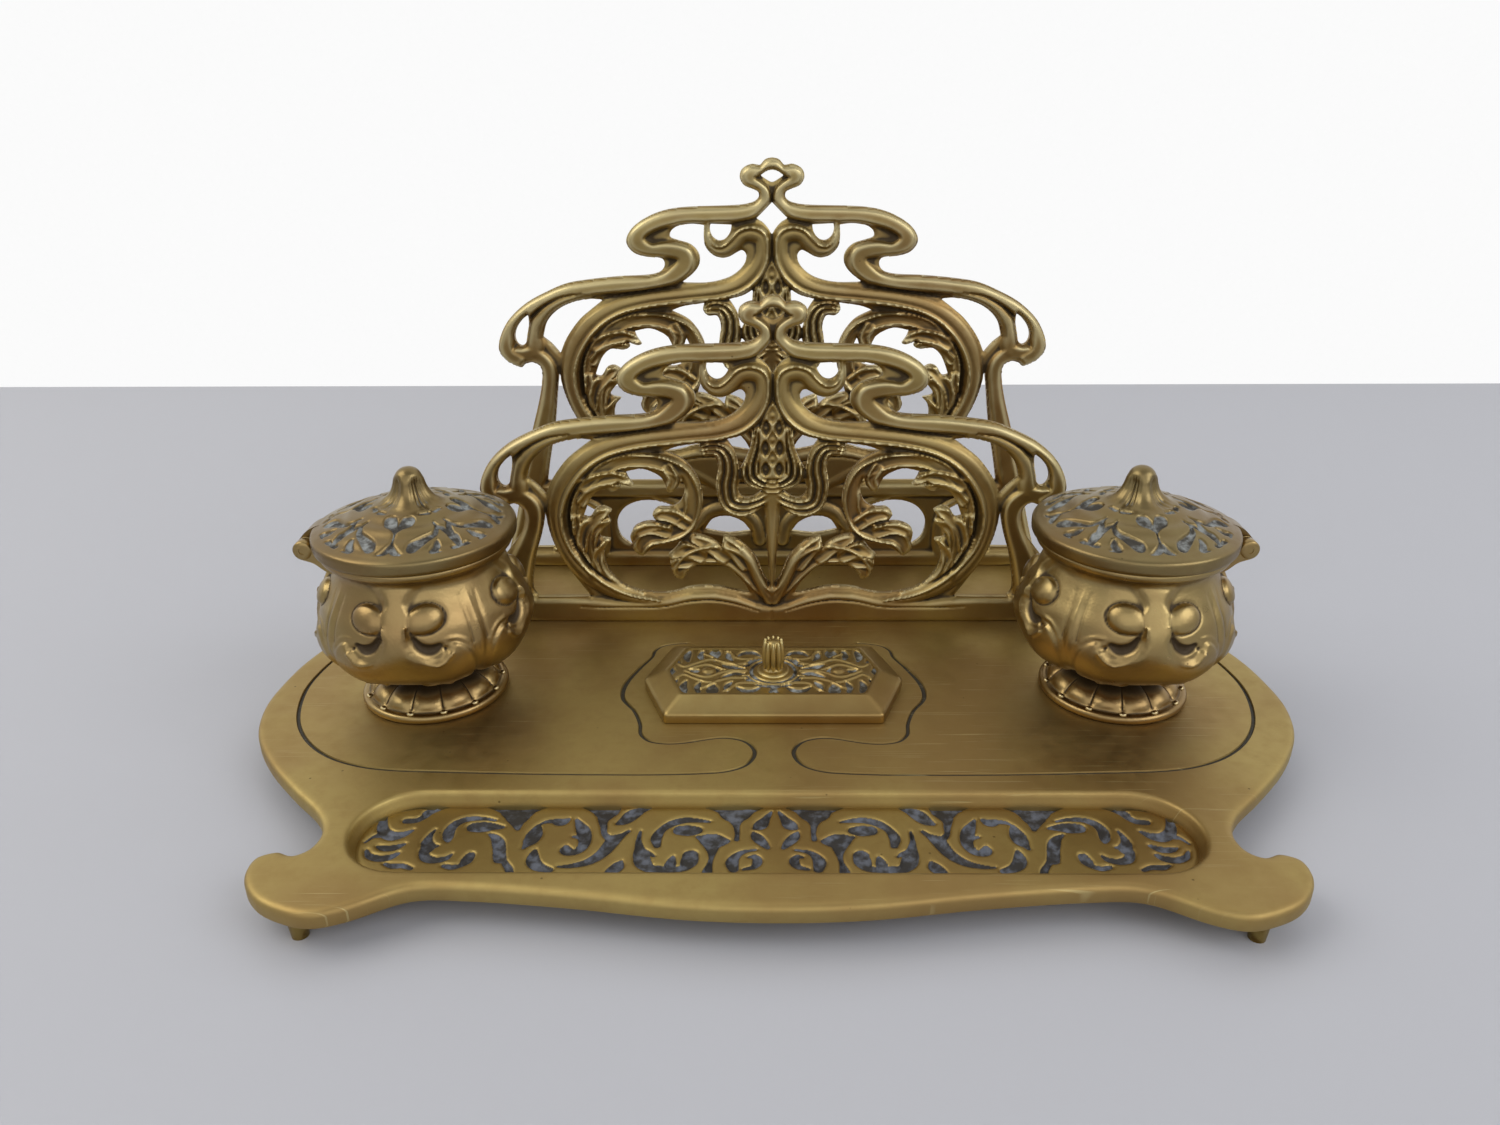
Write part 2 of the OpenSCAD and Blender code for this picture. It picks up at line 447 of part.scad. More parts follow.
module pedestal() difference() {
  rotate_extrude() polygon([[0, 0], [foot_r - 0.4, 0], [foot_r, 0.6], [foot_r, 1.8], [foot_r - 0.7, 2.4],
    [foot_r - 1.8, 2.6], [foot_r - 2, 3.4], [foot_r - 3.2, 5], [foot_r - 6, foot_h - 2.6],
    [neck_r + 2.2, foot_h - 1.4], [neck_r + 0.4, foot_h - 0.7], [neck_r, foot_h], [0, foot_h]]);
  translate([0, 0, -1]) cylinder(r = bolt_r + snug, h = foot_h + 2);
  for (i = [0 : flutes - 1]) rotate([0, 0, (i + 0.5) * 360 / flutes])
    translate([foot_r - 1.6, 0, 3.3]) rotate([0, -68, 0]) cylinder(r = 0.7, h = foot_r - neck_r - 2.4, $fn = 16);
}

// The bowl's four flowers: a pair of buds on each.
module bowl_flowers() for (i = [0 : petals - 1]) rotate([0, 0, i * 360 / petals - 90])
  for (k = [-1, 1]) rotate([0, 0, k * 15.5]) translate([bowl_r - 4.6, 0, 0.66 * bowl_h]) sphere(r = 4.4, $fn = 24);
module hinge_barrel(l, y) translate([hinge_x, y + l / 2, hinge_z]) rotate([90, 0, 0]) cylinder(r = barrel_r, h = l);
module hinge_bore() translate([hinge_x, barrel_l, hinge_z]) rotate([90, 0, 0])
  cylinder(r = pin_r + snug, h = 2 * barrel_l);
pot_knuckle_l = (barrel_l - lid_knuckle_l) / 2 - swing;
pot_knuckle_y = (barrel_l - pot_knuckle_l) / 2;

module bowl() {
  difference() {
    union() {
      translate([0, 0, bowl_z]) {
        rotate_extrude() polygon(concat([[0, 0]], curve(bowl_profile, 3), [[rim_r, bowl_h - 1.8], [rim_r, bowl_h],
          [0, bowl_h]]));
        bowl_flowers();
      }
      for (k = [-1, 1]) {
        hinge_barrel(pot_knuckle_l, k * pot_knuckle_y);
        translate([0, k * pot_knuckle_y + pot_knuckle_l / 2, 0]) rotate([90, 0, 0]) linear_extrude(pot_knuckle_l)
          polygon([[rim_r - 3.4, seat_z - 8], [rim_r - 1, seat_z - 6.4], [hinge_x, hinge_z - barrel_r],
            [hinge_x, hinge_z + 0.6], [rim_r - 0.4, seat_z - swing], [rim_r - 3.4, seat_z - swing]]);
      }
    }
    translate([0, 0, bowl_z]) {
      rotate_extrude() polygon(concat(bowl_cavity, [[mouth_r, bowl_h - 7.4], [mouth_r, bowl_h - liner_step],
        [flange_r + loose, bowl_h - liner_step], [flange_r + loose, bowl_h + 1], [0, bowl_h + 1]]));
      translate([0, 0, -1]) cylinder(r = bolt_r + snug, h = bowl_floor + 2);
    }
    hinge_bore();
  }
}

module liner() translate([0, 0, bowl_z]) rotate_extrude() {
  bottom = bowl_floor + bolt_head_h + 1;
  top = bowl_h - liner_step;
  polygon([[0, bottom], [liner_r - 3, bottom], [liner_r - 0.9, bottom + 0.9], [liner_r, bottom + 3], [liner_r, top],
    [flange_r, top], [flange_r, top + flange_t], [liner_r - glass_t, top + flange_t],
    [liner_r - glass_t, bottom + glass_t + 2], [liner_r - glass_t - 2, bottom + glass_t], [0, bottom + glass_t]]);
}

module pot_bolt() {
  tail = under_plate - washer_t - nut_t - 0.6;
  head_z = bowl_z + bowl_floor;
  translate([0, 0, tail]) cylinder(r = bolt_r, h = head_z - tail + 0.1);
  difference() {
    translate([0, 0, head_z]) cylinder(r = 2 * bolt_r + 0.5, h = bolt_head_h);
    translate([-3 * bolt_r, -0.5, head_z + bolt_head_h - 1]) cube([6 * bolt_r, 1, 2]);
  }
}
module pot_washer() translate([0, 0, under_plate - washer_t]) annulus(2 * bolt_r + 1.2, bolt_r + snug, washer_t);
module pot_nut() translate([0, 0, under_plate - washer_t - nut_t]) difference() {
  cylinder(r = 2 * bolt_r + 0.2, h = nut_t, $fn = 6);
  translate([0, 0, -1]) cylinder(r = bolt_r + snug, h = nut_t + 2);
}

// ---------------------------------------------------------------- pot lids

knob_z = lid_h - 19.9;
lid_profile = [[0, 0], [rim_r + 0.2, 0], [rim_r + 1.2, 1.2], [rim_r + 1.4, lid_edge_h - 0.6], [rim_r + 0.9, lid_edge_h],
  [rim_r - 0.6, 4.7 + knob_z], [19, 7 + knob_z], [13, 9.1 + knob_z], [9.2, 10.4 + knob_z], [7, 11.6 + knob_z],
  [5.4, 13.6 + knob_z], [4.5, 15.6 + knob_z], [3.9, 17.4 + knob_z], [2.9, 18.9 + knob_z], [1.5, 19.7 + knob_z],
  [0, lid_h]];
// The pattern of one quarter of the lid, with y outwards from the knob: a heart on a stalk and two curling leaves.
heart = [[[0, 23.4], [1.2, 21], [3.2, 18.6], [3.5, 16.6], [2.2, 15.6], [0, 17]],
  [[0, 17], [-2.2, 15.6], [-3.5, 16.6], [-3.2, 18.6], [-1.2, 21], [0, 23.4]]];
leaf = [[4.6, 22.6, 2.4], [6.4, 19.8, 1.8], [9.4, 17, 2.4], [11.4, 13.2, 0.9]];
tendril = [[10.6, 18.4, 0.8], [13.2, 18.2, 1.6], [14.6, 16, 1.2]];
module lid_pattern() for (i = [0 : petals - 1]) rotate([0, 0, i * 360 / petals]) {
  polygon(outline(heart));
  for (v = [ribbon(leaf, 2), ribbon(tendril, 2)]) { polygon(v); polygon(mirrored(v)); }
}
module lid() {
  translate([0, 0, seat_z]) {
    difference() {
      rotate_extrude() polygon(lid_profile);
      rotate_extrude() polygon([[0, -1], [rim_r - 2, -1], [rim_r - 2.4, 2.4], [19, 4.4 + knob_z], [13, 6.6 + knob_z],
        [7, 8.2 + knob_z], [0, 8.8 + knob_z]]);
      intersection() {
        linear_extrude(lid_h) lid_pattern();
        rotate_extrude() polygon([[rim_r + 3, 4 + knob_z - lid_relief], [rim_r - 0.6, 4.7 + knob_z - lid_relief],
          [19, 7 + knob_z - lid_relief], [13, 9.1 + knob_z - lid_relief], [9.2, 10.4 + knob_z - lid_relief],
          [9.2, lid_h], [rim_r + 3, lid_h]]);
      }
    }
  }
  difference() {
    union() {
      hinge_barrel(lid_knuckle_l, 0);
      translate([0, lid_knuckle_l / 2, 0]) rotate([90, 0, 0]) linear_extrude(lid_knuckle_l)
        polygon([[rim_r - 2, seat_z + 0.4], [hinge_x - 2, hinge_z + 1.2], [hinge_x, hinge_z],
          [hinge_x + 1.4, hinge_z + 2.1], [rim_r - 1.4, seat_z + 5 + knob_z], [rim_r - 2, seat_z + 4.6 + knob_z]]);
    }
    hinge_bore();
  }
}
module hinge_pin() translate([hinge_x, barrel_l / 2 - 0.3, hinge_z]) rotate([90, 0, 0])
  cylinder(r = pin_r, h = barrel_l - 0.6);

// ---------------------------------------------------------------- stamp box

module bevelled(base, rise, run) {
  top = inset(base, run);
  m = len(base);
  polyhedron(
    points = concat([for (p = base) [p.x, p.y, 0]], [for (p = top) [p.x, p.y, rise]]),
    faces = concat([[for (i = [0 : m - 1]) i], [for (i = [m - 1 : -1 : 0]) m + i]],
      [for (i = [0 : m - 1]) [i, m + i, m + (i + 1) % m, (i + 1) % m]]));
}
module stamp_lid() color("darkgoldenrod") translate([0, row_y, tray_top]) {
  difference() {
    union() {
      linear_extrude(stamp_rim_h) polygon(stamp_shape);
      translate([0, 0, stamp_rim_h]) bevelled(stamp_shape, stamp_bevel_h, stamp_bevel);
      translate([0, 0, -lip_h]) linear_extrude(lip_h) polygon(inset(stamp_shape, well_inset + loose));
    }
    translate([0, 0, -lip_h - 1]) linear_extrude(lip_h + 1 + stamp_rim_h)
      polygon(inset(stamp_shape, well_inset + loose + lip_t));
    translate([0, 0, -1]) cylinder(r = knob_shank_r + snug, h = stamp_top + 2);
  }
  translate([0, 0, stamp_top - 0.1]) annulus(knob_r + 3.6, knob_r + 2.8, 0.5);
}
module stamp_knob() color("goldenrod") translate([0, row_y, tray_top + stamp_top]) {
  ribs = 10;
  difference() {
    rotate_extrude() polygon([[0, 0], [knob_r, 0], [knob_r, 1], [knob_r - 0.4, 1.4], [knob_r - 0.2, knob_h - 2.4],
      [knob_r - 0.7, knob_h - 1.5], [knob_r - 1.5, knob_h - 0.6], [knob_r - 2.4, knob_h - 0.1], [0, knob_h]]);
    for (i = [0 : ribs - 1]) rotate([0, 0, i * 360 / ribs]) translate([knob_r + 0.1, 0, 1.6])
      cylinder(r = 0.7, h = knob_h, $fn = 16);
  }
  translate([0, 0, -stamp_bevel_h - 2.4]) cylinder(r = knob_shank_r, h = stamp_bevel_h + 2.5);
}
module stamp_knob_nut() color("goldenrod") translate([0, row_y, tray_top + stamp_rim_h - 2])
  annulus(2 * knob_shank_r, knob_shank_r + snug, 2);

// ---------------------------------------------------------------- nodes

tray();
peg_front_left();
peg_front_right();
peg_rear_left();
peg_rear_right();
rack_front();
rack_rear();
rack_front_screws();
rack_rear_screws();
place_pot(-1) translate([0, 0, tray_top]) color("goldenrod") pedestal();  // pedestal_left
place_pot(1) translate([0, 0, tray_top]) color("goldenrod") pedestal();  // pedestal_right
place_pot(-1) color("darkgoldenrod") bowl();  // bowl_left
place_pot(1) color("darkgoldenrod") bowl();  // bowl_right
place_pot(-1) color("lightcyan") liner();  // liner_left
place_pot(1) color("lightcyan") liner();  // liner_right
place_pot(-1) color("silver") pot_bolt();  // pot_bolt_left
place_pot(1) color("silver") pot_bolt();  // pot_bolt_right
place_pot(-1) color("silver") pot_washer();  // pot_washer_left
place_pot(1) color("silver") pot_washer();  // pot_washer_right
place_pot(-1) color("silver") pot_nut();  // pot_nut_left
place_pot(1) color("silver") pot_nut();  // pot_nut_right
place_pot(-1) color("peru") lid();  // lid_left
place_pot(1) color("peru") lid();  // lid_right
place_pot(-1) color("goldenrod") hinge_pin();  // hinge_pin_left
place_pot(1) color("goldenrod") hinge_pin();  // hinge_pin_right
stamp_lid();
stamp_knob();
stamp_knob_nut();
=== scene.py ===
"""Dresses the desk inkstand: cast and polished brass, with old polish and tarnish left in its hollows."""

import math

import bmesh
import bpy
import numpy as np
from mathutils import Matrix, Vector
from mathutils.geometry import delaunay_2d_cdt


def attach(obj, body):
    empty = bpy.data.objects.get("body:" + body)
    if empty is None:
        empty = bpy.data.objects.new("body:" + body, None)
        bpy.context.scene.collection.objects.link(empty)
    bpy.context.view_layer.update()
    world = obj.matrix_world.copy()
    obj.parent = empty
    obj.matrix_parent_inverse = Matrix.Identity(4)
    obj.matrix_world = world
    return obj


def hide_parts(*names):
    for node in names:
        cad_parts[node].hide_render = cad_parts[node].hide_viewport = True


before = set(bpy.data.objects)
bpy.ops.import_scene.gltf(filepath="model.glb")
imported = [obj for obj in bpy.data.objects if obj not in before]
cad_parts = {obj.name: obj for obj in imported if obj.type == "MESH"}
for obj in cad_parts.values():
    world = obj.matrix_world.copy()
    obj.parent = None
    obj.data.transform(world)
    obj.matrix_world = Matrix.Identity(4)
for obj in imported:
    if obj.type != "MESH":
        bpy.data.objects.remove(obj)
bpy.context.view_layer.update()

MM = 0.001
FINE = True
# Fields that say how far a place is from an edge stop at this many millimetres.
FAR = 9.0
# Points of a mesh that lie closer than this are one, and edges longer than the next lie on plain faces.
CLOSE = 0.002
LONG_EDGE = 2.4

# ---------------------------------------------------------------- sizes, in millimetres

TRAY_TOP = 11.6
UNDER_PLATE = 9.2
SKIRT_Z = 7.0
SKIRT_T = 2.6
FRONT_EDGE = -94.5
ROW_Y = -2.4
PEN_Y = -66.3
PEN_HALF = 99.0
PEN_R = 14.5
FLOOR_R = 13.6
FLOOR_TOP = 8.02
FLOOR_UNDER = 6.2
WELL_FLOOR = 3.0
POT_X = 95.4
BOWL_Z = 21.0
BOWL_R = 28.4
SEAT_Z = 58.1
HINGE_X = 28.4
HINGE_Z = 57.0
BARREL_R = 2.6
BOLT_HOLE_R = 2.1
RACK_BACK = 40.7
REAR_BACK = 82.5
REAR_LIFT = 32.6
LUG_X = (-62, 0, 62)
LUG_R = 3.2
PEG_SPOTS = ((104.5, -88.1), (-104.5, -88.1), (94, 86.5), (-94, 86.5))
SIDES = {"right": 1, "left": -1}

# Half of the tray's outline, from the middle of the front round to the back: x, distance from the front edge.
TRAY_HALF = [[0, 2.1], [20, 3], [45, 6.4], [68, 8.6], [80, 8.3], [92, 2], [98.7, 0], [105, 1.2],
    [112.5, 5.2], [117.4, 12], [117.6, 18.4], [113.4, 20.8], [109.4, 19.6], [106.3, 22.2], [105.8, 28],
    [109.4, 34.6], [118.7, 44], [129, 55.5], [137, 68], [140.6, 80], [141, 91], [138.6, 108], [132, 126],
    [123, 144], [113, 161], [105, 177], [96, 186.6], [87, 189], [80, 189], [60, 189], [30, 189], [0, 189]]

# The engraved line on the right of the tray: x, distance from the front edge, width.
ENGRAVED = [[25, 118.3, .25], [29, 117.8, .6], [33, 116.4, .7], [35.2, 113.4, .7], [35.8, 109.5, .6],
    [38.8, 102.9, .9], [42, 93.7, 1.2], [41.9, 86.1, .9], [38.1, 79.5, .7], [35.9, 73, .7],
    [35.2, 68.2, .7], [32.8, 65, .7], [28.6, 63.8, .6], [23.8, 64.1, .6], [13.8, 66.5, .7], [7.8, 64.9, .8],
    [5, 59.9, .9], [7.5, 53.9, .8], [15, 50.9, .7], [45, 50.1, .7], [82.5, 51.1, .7], [101.3, 52.5, .7],
    [113, 56.7, .7], [122, 64.1, .7], [128.4, 74.1, .7], [132, 87.1, .8], [132.2, 98.1, .7],
    [129, 112.1, .6], [122, 125.1, .5], [112, 133.1, .25]]

# The stamp box's outline, x and y from its middle, and how far its corners are rounded.
HEX_CORNER = 1.2
STAMP_HEX = [[-29.5, -19], [29.5, -19], [36.5, 0], [29.5, 19], [-29.5, 19], [-36.5, 0]]

# ---------------------------------------------------------------- curves and fields


def smooth_path(knots, step, closed=False):
    """Points along a smooth curve through the knots; any columns after x and y run smoothly along it too."""
    knots = np.array(knots, float)
    if closed:
        before, after = np.roll(knots, 1, 0), np.roll(knots, -2, 0)
        starts, ends = knots, np.roll(knots, -1, 0)
    else:
        starts, ends = knots[:-1], knots[1:]
        before = np.vstack([knots[:1], knots[:-2]])
        after = np.vstack([knots[2:], knots[-1:]])
    points = []
    for p0, p1, p2, p3 in zip(before, starts, ends, after):
        span = max(np.linalg.norm((p2 - p1)[:2]), 1e-6)
        lead = (p2 - p0) * span / max(span + np.linalg.norm((p1 - p0)[:2]), 1e-6)
        trail = (p3 - p1) * span / max(span + np.linalg.norm((p3 - p2)[:2]), 1e-6)
        t = np.linspace(0, 1, max(2, math.ceil(span / step)), endpoint=False)[:, None]
        points.append((2 * t**3 - 3 * t**2 + 1) * p1 + (t**3 - 2 * t**2 + t) * lead
                      + (3 * t**2 - 2 * t**3) * p2 + (t**3 - t**2) * trail)
    if not closed:
        points.append(knots[-1:])
    return np.vstack(points)


def chain(stretches):
    """An outline of smooth stretches that meet at corners. Each starts where the one before it ends."""
    before = stretches[-1:] + stretches[:-1]
    return np.vstack([smooth_path(last[-1:] + stretch, 0.5)[:-1] for last, stretch in zip(before, stretches)])


def ease(v):
    """A smooth step from 0 to 1."""
    v = np.clip(v, 0, 1)
    return v * v * (3 - 2 * v)


def unit(ways):
    """The ways, one in each row, at length 1."""
    return ways / np.maximum(np.linalg.norm(ways, axis=1), 1e-9)[:, None]


def round_turn(count):
    """Directions all the way round, evenly spaced, as angles."""
    return np.linspace(0, 2 * math.pi, count, endpoint=False)


def at(loop, z):
    """The loop's points at the height z."""
    return np.column_stack([loop, np.full(len(loop), z)])


def circle(x, y, radius, count):
    """Evenly spaced points round a middle."""
    turn = round_turn(count)
    return np.stack([x + radius * np.cos(turn), y + radius * np.sin(turn)], 1)


def section(kind, t):
    """Height across a strand, 0 to 1, at t from -1 on its left edge to 1 on its right."""
    side = np.clip(1 - np.abs(t), 0, 1)
    rim = ease(side / 0.28)
    dome = np.sqrt(np.clip(1 - t * t, 0, 1))

    def ridge(middle, width):
        return np.exp(-((t - middle) / width) ** 2)

    if kind == "round":
        return dome
    if kind == "flat":
        return ease(side / 0.5) ** 0.7 * (0.9 + 0.1 * t)
    if kind == "ridged":
        return dome * 0.62 + 0.38 * ridge(0.5, 0.16) - 0.1 * ridge(0.15, 0.14)
    if kind == "channel_left":
        return rim * (0.3 + 0.7 * ridge(-0.66, 0.24) + 0.36 * ridge(0.75, 0.16))
    if kind == "channel_right":
        return section("channel_left", -t)
    if kind == "fluted":
        return rim * (0.62 + 0.38 * np.cos(3 * math.pi * t))
    if kind == "leaf":
        return rim * (0.36 + 0.64 * np.clip(np.abs(t) / 0.72, 0, 1) ** 1.6)
    raise ValueError(kind)


class Relief:
    """A height field over a grid. It keeps how far inside the silhouette each point is, and its height."""

    def __init__(self, low, high, step, mirrored=True):
        self.step, self.mirrored = step, mirrored
        self.x = np.arange(low[0], high[0] + step / 2, step)
        self.z = np.arange(low[1], high[1] + step / 2, step)
        self.X, self.Z = np.meshgrid(self.x, self.z)
        self.inside = np.full(self.X.shape, -FAR)
        self.height = np.zeros(self.X.shape)

    def near(self, x, z, reach):
        """The part of the grid within reach of a point."""
        i0, i1 = np.searchsorted(self.x, [x - reach, x + reach])
        j0, j1 = np.searchsorted(self.z, [z - reach, z + reach])
        return (slice(j0, j1), slice(i0, i1))

    def along(self, knots, margin=1.2, step=None, fuller=1.0):
        """Distance inside a strand along the knots (x, z, width), and place across it, per grid point."""
        path = smooth_path(knots, step or self.step * 0.8) * [1, 1, fuller]
        run = unit(np.gradient(path[:, :2], axis=0))
        deep = np.full(self.X.shape, -FAR)
        across = np.zeros(self.X.shape)
        for side in (1, -1) if self.mirrored else (1,):
            for (x, z, w), (dx, dz) in zip(path, run):
                if side < 0 and x > w / 2 + margin:
                    continue
                here = self.near(side * x, z, w / 2 + margin)
                ox, oz = self.X[here] - side * x, self.Z[here] - z
                d = w / 2 - np.hypot(ox, oz)
                better = d > deep[here]
                deep[here] = np.where(better, d, deep[here])
                t = (side * dz * ox - dx * oz) / (w / 2)
                across[here] = np.where(better, t, across[here])
        return deep, np.clip(across, -1, 1)

    def within_any(self, strands, **how):
        """Distance inside the nearest of the strands for every grid point."""
        return np.max([self.along(knots, **how)[0] for knots in strands], axis=0)

    def within(self, corners):
        """Distance inside a polygon for every grid point near it."""
        corners = np.array(corners, float)
        reach = np.abs(corners - corners.mean(0)).max() + 4
        here = self.near(*corners.mean(0), reach)
        X, Z = self.X[here], self.Z[here]
        near = np.full(X.shape, FAR)
        odd = np.zeros(X.shape, bool)
        for (ax, az), (bx, bz) in zip(corners, np.roll(corners, -1, 0)):
            ex, ez = bx - ax, bz - az
            t = np.clip(((X - ax) * ex + (Z - az) * ez) / max(ex * ex + ez * ez, 1e-9), 0, 1)
            near = np.minimum(near, np.hypot(X - ax - t * ex, Z - az - t * ez))
            crosses = (az > Z) != (bz > Z)
            odd ^= crosses & (X < ax + (Z - az) * ex / (ez if ez else 1e-9))
        deep = np.full(self.X.shape, -FAR)
        deep[here] = np.where(odd, near, -near)
        return deep

    def outline(self, corners):
        """Adds an area to the silhouette."""
        self.inside = np.maximum(self.inside, self.within(corners))

    def opening(self, corners):
        """Takes an area out of the silhouette."""
        self.inside = np.minimum(self.inside, -self.within(corners))

    def raise_to(self, height, where):
        """Raises the surface to the height where it lies lower."""
        self.height = np.where(where, np.maximum(self.height, height), self.height)

    def strand(self, knots, kind="round", base=1.3, crown=2.6, fuller=1.16):
        """Raises a strand; where strands meet, the higher one shows."""
        deep, t = self.along(knots, fuller=fuller)
        widest = max(width for _, _, width in knots)
        rise = min(crown, 0.6 * widest) * section(kind, t) * ease(deep / 0.5 + 0.1)
        self.raise_to(base + rise, deep > 0)

    def slab(self, corners, base=1.3, crown=1.6, edge=1.4):
        """Raises a flat area with a rounded edge."""
        deep = self.within(corners)
        rise = crown * np.sqrt(np.clip(1 - (1 - np.clip(deep / edge, 0, 1)) ** 2, 0, 1))
        self.raise_to(base + rise, deep > 0)

    def cut(self, knots, depth):
        """Sinks a groove."""
        deep, _ = self.along(knots)
        self.height = self.height - depth * ease((deep + 0.2) / 0.7)

    def roll_edges(self, radius, foot):
        """Rolls the surface down to foot at the silhouette."""
        turn = np.sqrt(1 - (1 - np.clip(self.inside / radius, 0, 1)) ** 2)
        self.height = foot + (self.height - foot) * turn

    def soften(self):
        padded = np.pad(self.height, 1, mode="edge")
        beside = padded[:-2, 1:-1], padded[2:, 1:-1], padded[1:-1, :-2], padded[1:-1, 2:]
        self.height = sum(beside, self.height * 4) / 8

    def sample(self, field, x, z):
        """What a field over the grid holds at any points."""
        i = np.clip((x - self.x[0]) / self.step, 0, len(self.x) - 1.001)
        j = np.clip((z - self.z[0]) / self.step, 0, len(self.z) - 1.001)
        a, b = i.astype(int), j.astype(int)
        u, v = i - a, j - b
        return (field[b, a] * (1 - u) * (1 - v) + field[b, a + 1] * u * (1 - v)
                + field[b + 1, a] * (1 - u) * v + field[b + 1, a + 1] * u * v)

    def whole(self):
        """The finished grid with its other half: x, z, distance inside, height."""
        keep = self.x > self.step / 4
        x = np.concatenate([-self.x[keep][::-1], self.x])
        inside, height = (np.hstack([field[:, keep][:, ::-1], field]) for field in (self.inside, self.height))
        return x, self.z, inside, height


# For each set of a cell's corners that lie inside (1, 2, 4 and 8, from the low left one round by the right),
# the faces inside the outline: 0 to 3 are the corners, 4 to 7 the crossings on the edges after them.
CELL_FACES = {1: [(0, 4, 7)], 2: [(1, 5, 4)], 3: [(0, 1, 5, 7)], 4: [(2, 6, 5)], 5: [(0, 4, 7), (2, 6, 5)],
    6: [(1, 2, 6, 4)], 7: [(0, 1, 2, 6, 7)], 8: [(3, 7, 6)], 9: [(0, 4, 6, 3)], 10: [(1, 5, 4), (3, 7, 6)],
    11: [(0, 1, 5, 6, 3)], 12: [(2, 3, 7, 5)], 13: [(0, 4, 5, 2, 3)], 14: [(1, 2, 3, 7, 4)],
    15: [(0, 1, 2, 3)]}


def trace_field(relief):
    """Faces of a relief within its outline: flat points, heights, faces and the outline's directed edges."""
    x, z, inside, height = relief.whole()
    rows, cols = inside.shape
    X, Z = np.meshgrid(x, z)
    on = inside > 0
    corner = np.arange(rows * cols).reshape(rows, cols)
    f, h = inside.ravel(), height.ravel()
    points, heights = [np.stack([X.ravel(), Z.ravel()], 1)], [h]

    def crossings(a, b, offset):
        """A point on each grid edge that the outline crosses; returns its number per edge."""
        a, b = a.ravel(), b.ravel()
        hit = (f[a] > 0) != (f[b] > 0)
        t = np.clip(f[a][hit] / (f[a][hit] - f[b][hit]), 0.1, 0.9)[:, None]
        pa, pb = points[0][a[hit]], points[0][b[hit]]
        points.append(pa + (pb - pa) * t)
        heights.append(np.where(f[a][hit] > 0, h[a][hit], h[b][hit]))
        number = np.full(len(a), -1)
        number[hit] = offset + np.arange(hit.sum())
        return number

    total = rows * cols
    level = crossings(corner[:, :-1], corner[:, 1:], total).reshape(rows, cols - 1)
    total += (level >= 0).sum()
    upright = crossings(corner[:-1, :], corner[1:, :], total).reshape(rows - 1, cols)
    code = on[:-1, :-1] * 1 + on[:-1, 1:] * 2 + on[1:, 1:] * 4 + on[1:, :-1] * 8
    ring = np.stack([corner[:-1, :-1], corner[:-1, 1:], corner[1:, 1:], corner[1:, :-1],
                     level[:-1, :], upright[:, 1:], level[1:, :], upright[:, :-1]], -1)
    faces, rim = [], []
    for number, shapes in CELL_FACES.items():
        cells = ring[code == number]
        for shape in shapes:
            faces += cells[:, shape].tolist()
            for a, b in zip(shape, shape[1:] + shape[:1]):
                if a > 3 and b > 3:
                    rim += cells[:, (a, b)].tolist()
    points, heights = np.vstack(points), np.concatenate(heights)
    used = np.unique(np.concatenate([np.array(f) for f in faces]))
    new = np.full(len(points), -1)
    new[used] = np.arange(len(used))
    faces = [[int(new[i]) for i in face] for face in faces]
    rim = [(int(new[a]), int(new[b])) for a, b in rim]
    return points[used], heights[used], faces, rim


def fill_outline(points, edges):
    """Triangles of the flat area to the left of the directed edges, as numbers of the points."""
    _, _, triangles, numbers, _, _ = delaunay_2d_cdt([Vector(p) for p in points], edges, [], 0, 1e-5, True)
    number = [ids[0] if ids else -1 for ids in numbers]
    heading = set(edges)
    owner, kept = {}, {}
    for i, face in enumerate(triangles):
        for a, b in zip(face, face[1:] + face[:1]):
            owner[number[a], number[b]] = i
    stack = [owner[e] for e in edges if e in owner]
    while stack:
        i = stack.pop()
        if i in kept:
            continue
        face = [number[a] for a in triangles[i]]
        kept[i] = face
        for a, b in zip(face, face[1:] + face[:1]):
            if (a, b) not in heading and (b, a) not in heading and (b, a) in owner:
                stack.append(owner[b, a])
    return list(kept.values())


# ---------------------------------------------------------------- meshes


